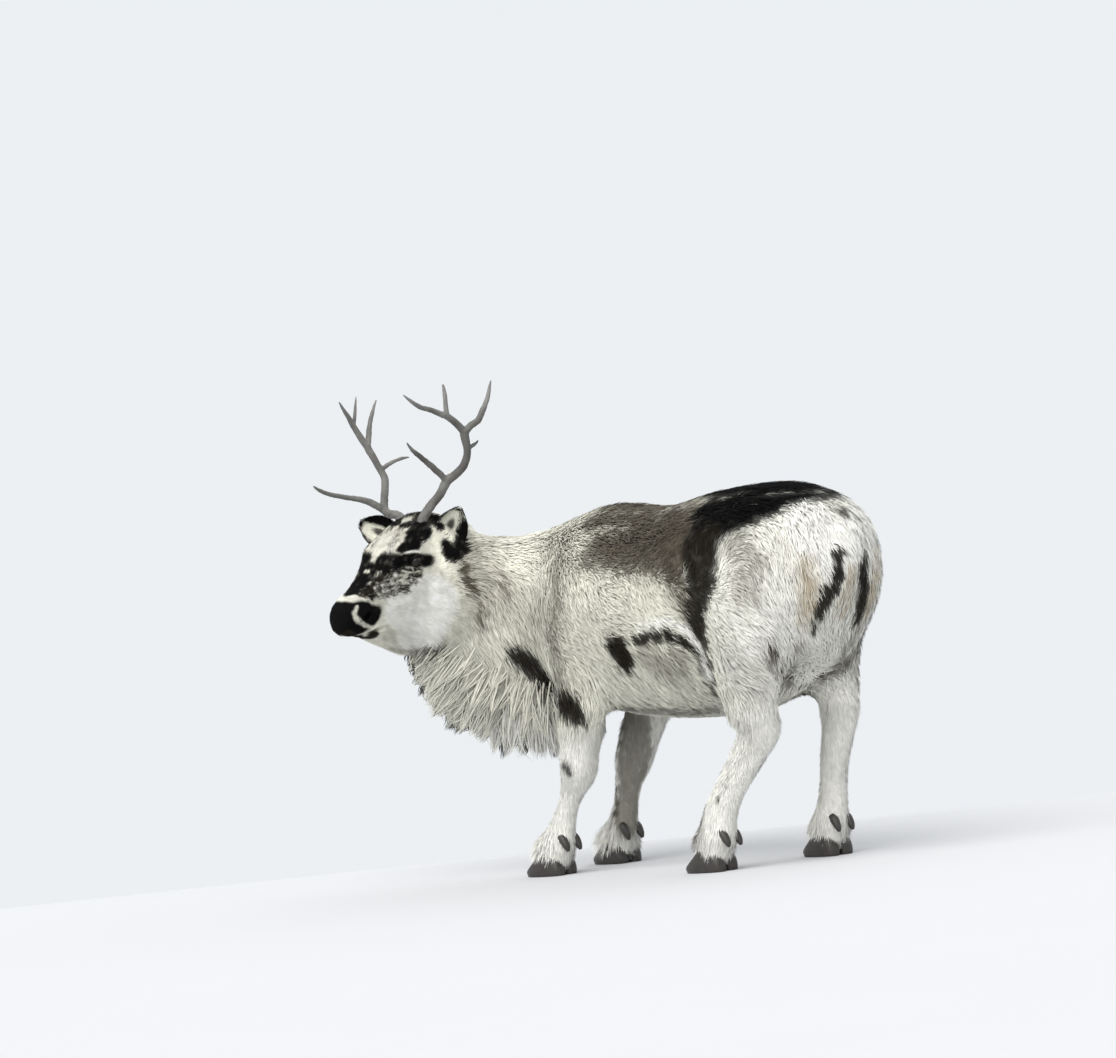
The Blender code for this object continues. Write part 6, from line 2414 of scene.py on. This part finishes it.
@dataclass(frozen=True)
class Stage:
    """The camera, pale floor and soft light round the model."""

    azimuth: float = math.radians(48)
    elevation: float = math.radians(1.0)
    roll: float = math.radians(6.0)
    distance: float = 14.0
    pixels_a_metre: float = 457.0
    picture: Tuple[float, float] = (1116.0, 1058.0)
    origin_pixel: Tuple[float, float] = (591.0, 867.0)
    sensor: float = 36.0
    sky: Point = (0.84, 0.87, 0.895)
    sun: Point = (1.0, 0.975, 0.94)
    sun_size: float = math.radians(60)
    crest: float = 0.42
    fall: float = 0.07

    def ways(self) -> Tuple[Array, Array, Array, Array]:
        """Work out the camera's ways from its azimuth, elevation and roll.

        Returns:
            Level right, rolled right, rolled up and backward unit vectors.
        """
        a, e, tilt = self.azimuth, self.elevation, self.roll
        right = np.array([math.cos(a), math.sin(a), 0.0])
        back = np.array([math.sin(a) * math.cos(e), -math.cos(a) * math.cos(e), math.sin(e)])
        up = np.cross(back, right)
        rolled_right = right * math.cos(tilt) - up * math.sin(tilt)
        rolled_up = right * math.sin(tilt) + up * math.cos(tilt)
        return right, rolled_right, rolled_up, back

    def stand(self, thing: bpy.types.Object, ways: Sequence[Array], place: Array) -> None:
        """Turn an object's own X, Y and Z to three ways and put it in its place.

        Args:
            thing: the object.
            ways: where its X, Y and Z point.
            place: where it stands.
        """
        rows = [[*(way[i] for way in ways), place[i]] for i in range(3)]
        thing.matrix_world = Matrix(rows + [[0, 0, 0, 1]])

    def camera(self) -> None:
        """Stand the camera where the picture's framing and turn of the animal put it."""
        _, right, up, back = self.ways()
        focal = self.pixels_a_metre * self.distance
        width, height = self.picture
        aim = (-(self.origin_pixel[0] - width / 2) / focal * self.distance * right
               + (self.origin_pixel[1] - height / 2) / focal * self.distance * up)
        data = bpy.data.cameras.new("camera")
        data.sensor_width = self.sensor
        data.lens = focal / width * self.sensor
        data.clip_end = 200.0
        thing = new_object("camera", data)
        self.stand(thing, (right, up, back), aim + self.distance * back + SHIFT)
        bpy.context.scene.camera = thing

    def floor(self, material: bpy.types.Material) -> None:
        """Lay a floor that is level under the animal and falls away far behind it.

        Past the crest its height is less the fall times the squared run.

        Args:
            material: its finish.
        """
        right = self.ways()[0]
        away = np.array([-right[1], right[0], 0.0])
        across, run = np.meshgrid(
            np.linspace(-14, 14, 57), np.linspace(-20, 14, 341), indexing="ij")
        height = -self.fall * np.maximum(run - self.crest, 0.0) ** 2
        verts = (across[..., None] * right + run[..., None] * away
                 + height[..., None] * np.array(UPWARDS)).reshape(-1, 3)
        rows, columns = across.shape
        i, j = np.meshgrid(np.arange(rows - 1), np.arange(columns - 1), indexing="ij")
        a = (i * columns + j).ravel()
        b, c, d = a + columns, a + columns + 1, a + 1
        faces = np.vstack([np.stack([a, b, c], 1), np.stack([a, c, d], 1)])
        thing = new_object("floor", new_mesh("floor", Shell(verts, faces)))
        thing.data.materials.append(material)

    def lights(self) -> None:
        """Light the stage with a pale sky and two large soft suns."""
        world = bpy.data.worlds.new("pale sky")
        world.use_nodes = True
        backdrop = world.node_tree.nodes["Background"]
        backdrop.inputs["Color"].default_value = (*self.sky, 1.0)
        backdrop.inputs["Strength"].default_value = 1.0
        bpy.context.scene.world = world
        right, _, _, back = self.ways()
        high = np.array(UPWARDS)
        for name, energy, way in (
            ("key", 3.0, back * 0.85 - right * 0.50 + high),
            ("rim", 0.5, -back * 0.5 + right * 0.5 + high * 0.9),
        ):
            data = bpy.data.lights.new(name, "SUN")
            data.energy = energy
            data.angle = self.sun_size
            data.color = self.sun
            toward = unit(way)
            side = unit(np.cross(high, toward))
            ways = (side, np.cross(toward, side), toward)
            self.stand(new_object(name, data), ways, 3 * toward)


# Putting it together


FLESH = [
    "torso", "neck", "head", "tail", "ear_left", "ear_right",
    *[f"{leg}_{part}_leg" for leg in LEGS for part in ("upper", "lower")],
]
BRANCHES = {
    "antler_left": ("beam", "front_tine", "rear_top", "front_top"),
    "antler_right": ("beam", "brow_tine", "back_tine", "outer_top", "rear_top"),
}


class Reindeer:
    """The whole model: skin, coat, antlers, hooves and eyes."""

    def __init__(self, palette: Palette) -> None:
        """Keep the palette that finishes the pieces."""
        self.palette = palette

    def keep(self, thing: bpy.types.Object, material: bpy.types.Material, slot: str,
             replaced: Sequence[str] = ()) -> None:
        """Finish a piece: give it its material and body, and hide the CAD nodes that it stands for.

        Args:
            thing: the piece.
            material: its finish.
            slot: the record's slot; not used.
            replaced: CAD nodes that it stands for.
        """
        thing.data.materials.append(material)
        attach(thing, "root")
        if replaced:
            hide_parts(*replaced)
        LOG.info("%s: %d triangles", thing.name, len(thing.data.polygons))

    def build_skin(self) -> Shell:
        """Make the skin with its ears and paint it like the coat.

        Returns:
            The skin without its ears, for the coat to grow on.
        """
        body = Skin().build()
        whole = united(body, [ear.build() for ear in EARS])
        mesh = new_mesh("skin", whole)
        normals = whole.normals()
        surface = whole.verts + normals * COAT.depth(whole.verts)[:, None]
        TUFT.paint(mesh, self.skin_tints(surface, normals))
        self.keep(new_object("skin", mesh), self.palette.make(UNDERFUR), "coat", FLESH)
        return body

    def skin_tints(self, surface: Array, normals: Array) -> Array:
        """Colour the skin a little darker than the coat, and the ears by their own rule.

        Args:
            surface: places on the outer surface of the coat.
            normals: outward ways there.

        Returns:
            Linear colours.
        """
        tints = PATTERN.colour(surface) * 0.88
        for ear in EARS:
            inside, found = ear.tints(surface, normals)
            tints = np.where(inside[:, None], found, tints)
        return tints

    def build_coat(self, skin: Shell) -> None:
        """Grow every zone's tufts, the ears' hair and the throat mane.

        Args:
            skin: the skin without its ears.
        """
        sparse = 1.0
        hair = self.palette.make(HAIR)
        coat = Coat(skin, sparse)
        for number, pelt in enumerate(PELTS):
            strands = coat.zone(pelt, np.random.default_rng(SEED + number))
            self.add_coat(pelt.zone.name.lower(), strands, pelt.slot, hair)
        for number, ear in enumerate(EARS):
            strands = coat.ear(ear, np.random.default_rng(SEED + 30 + number))
            self.add_coat(ear.name, strands, EAR_PELT.slot, hair)
        mane = ThroatMane().build(sparse, np.random.default_rng(SEED + 50))
        self.add_coat("mane_locks", mane, "mane", hair)

    def add_coat(self, name: str, strands: Strands, slot: str,
                 material: bpy.types.Material) -> None:
        """Weave tufts into pieces, split left and right where one would be too heavy.

        Args:
            name: the part of the coat.
            strands: the tufts.
            slot: the record's slot.
            material: the hair's finish.
        """
        name = f"coat_{name}"
        triangles = len(strands.lines) * len(TUFT.faces(strands.lines.shape[1] - 1))
        if triangles < HEAVY:
            self.keep(TUFT.weave(name, strands), material, slot)
            return
        left = strands.roots[:, 1] < np.median(strands.roots[:, 1])
        for side, mine in (("left", left), ("right", ~left)):
            self.keep(TUFT.weave(f"{name}_{side}", strands.part(mine)), material, slot)

    def build_hard_parts(self) -> None:
        """Make antlers, hooves and eyes."""
        bone = self.palette.make(BONE)
        for name, branches in BRANCHES.items():
            nodes = [f"{name}_{branch}" for branch in branches]
            self.keep(Antler(name).build(), bone, "antler", nodes)
        horn = self.palette.hoof()
        for foot in FEET:
            nodes = [f"{foot.name}_{place}_{part}" for place in ("inner", "outer")
                     for part in ("claw", "dewclaw")]
            self.keep(foot.build(), horn, "hoof", nodes)
        wet = self.palette.eye()
        for eye in EYES:
            self.keep(eye.build(), wet, "eye", [eye.name])


def main() -> None:
    """Build the stage and the reindeer in order."""
    logging.basicConfig(level=logging.INFO, format="%(name)s %(message)s")
    palette = Palette()
    stage = Stage()
    stage.camera()
    stage.floor(palette.make(GROUND))
    stage.lights()
    bpy.context.scene.view_settings.view_transform = "Standard"
    model = Reindeer(palette)
    skin = model.build_skin()
    model.build_coat(skin)
    model.build_hard_parts()


if __name__ == "__main__":
    main()
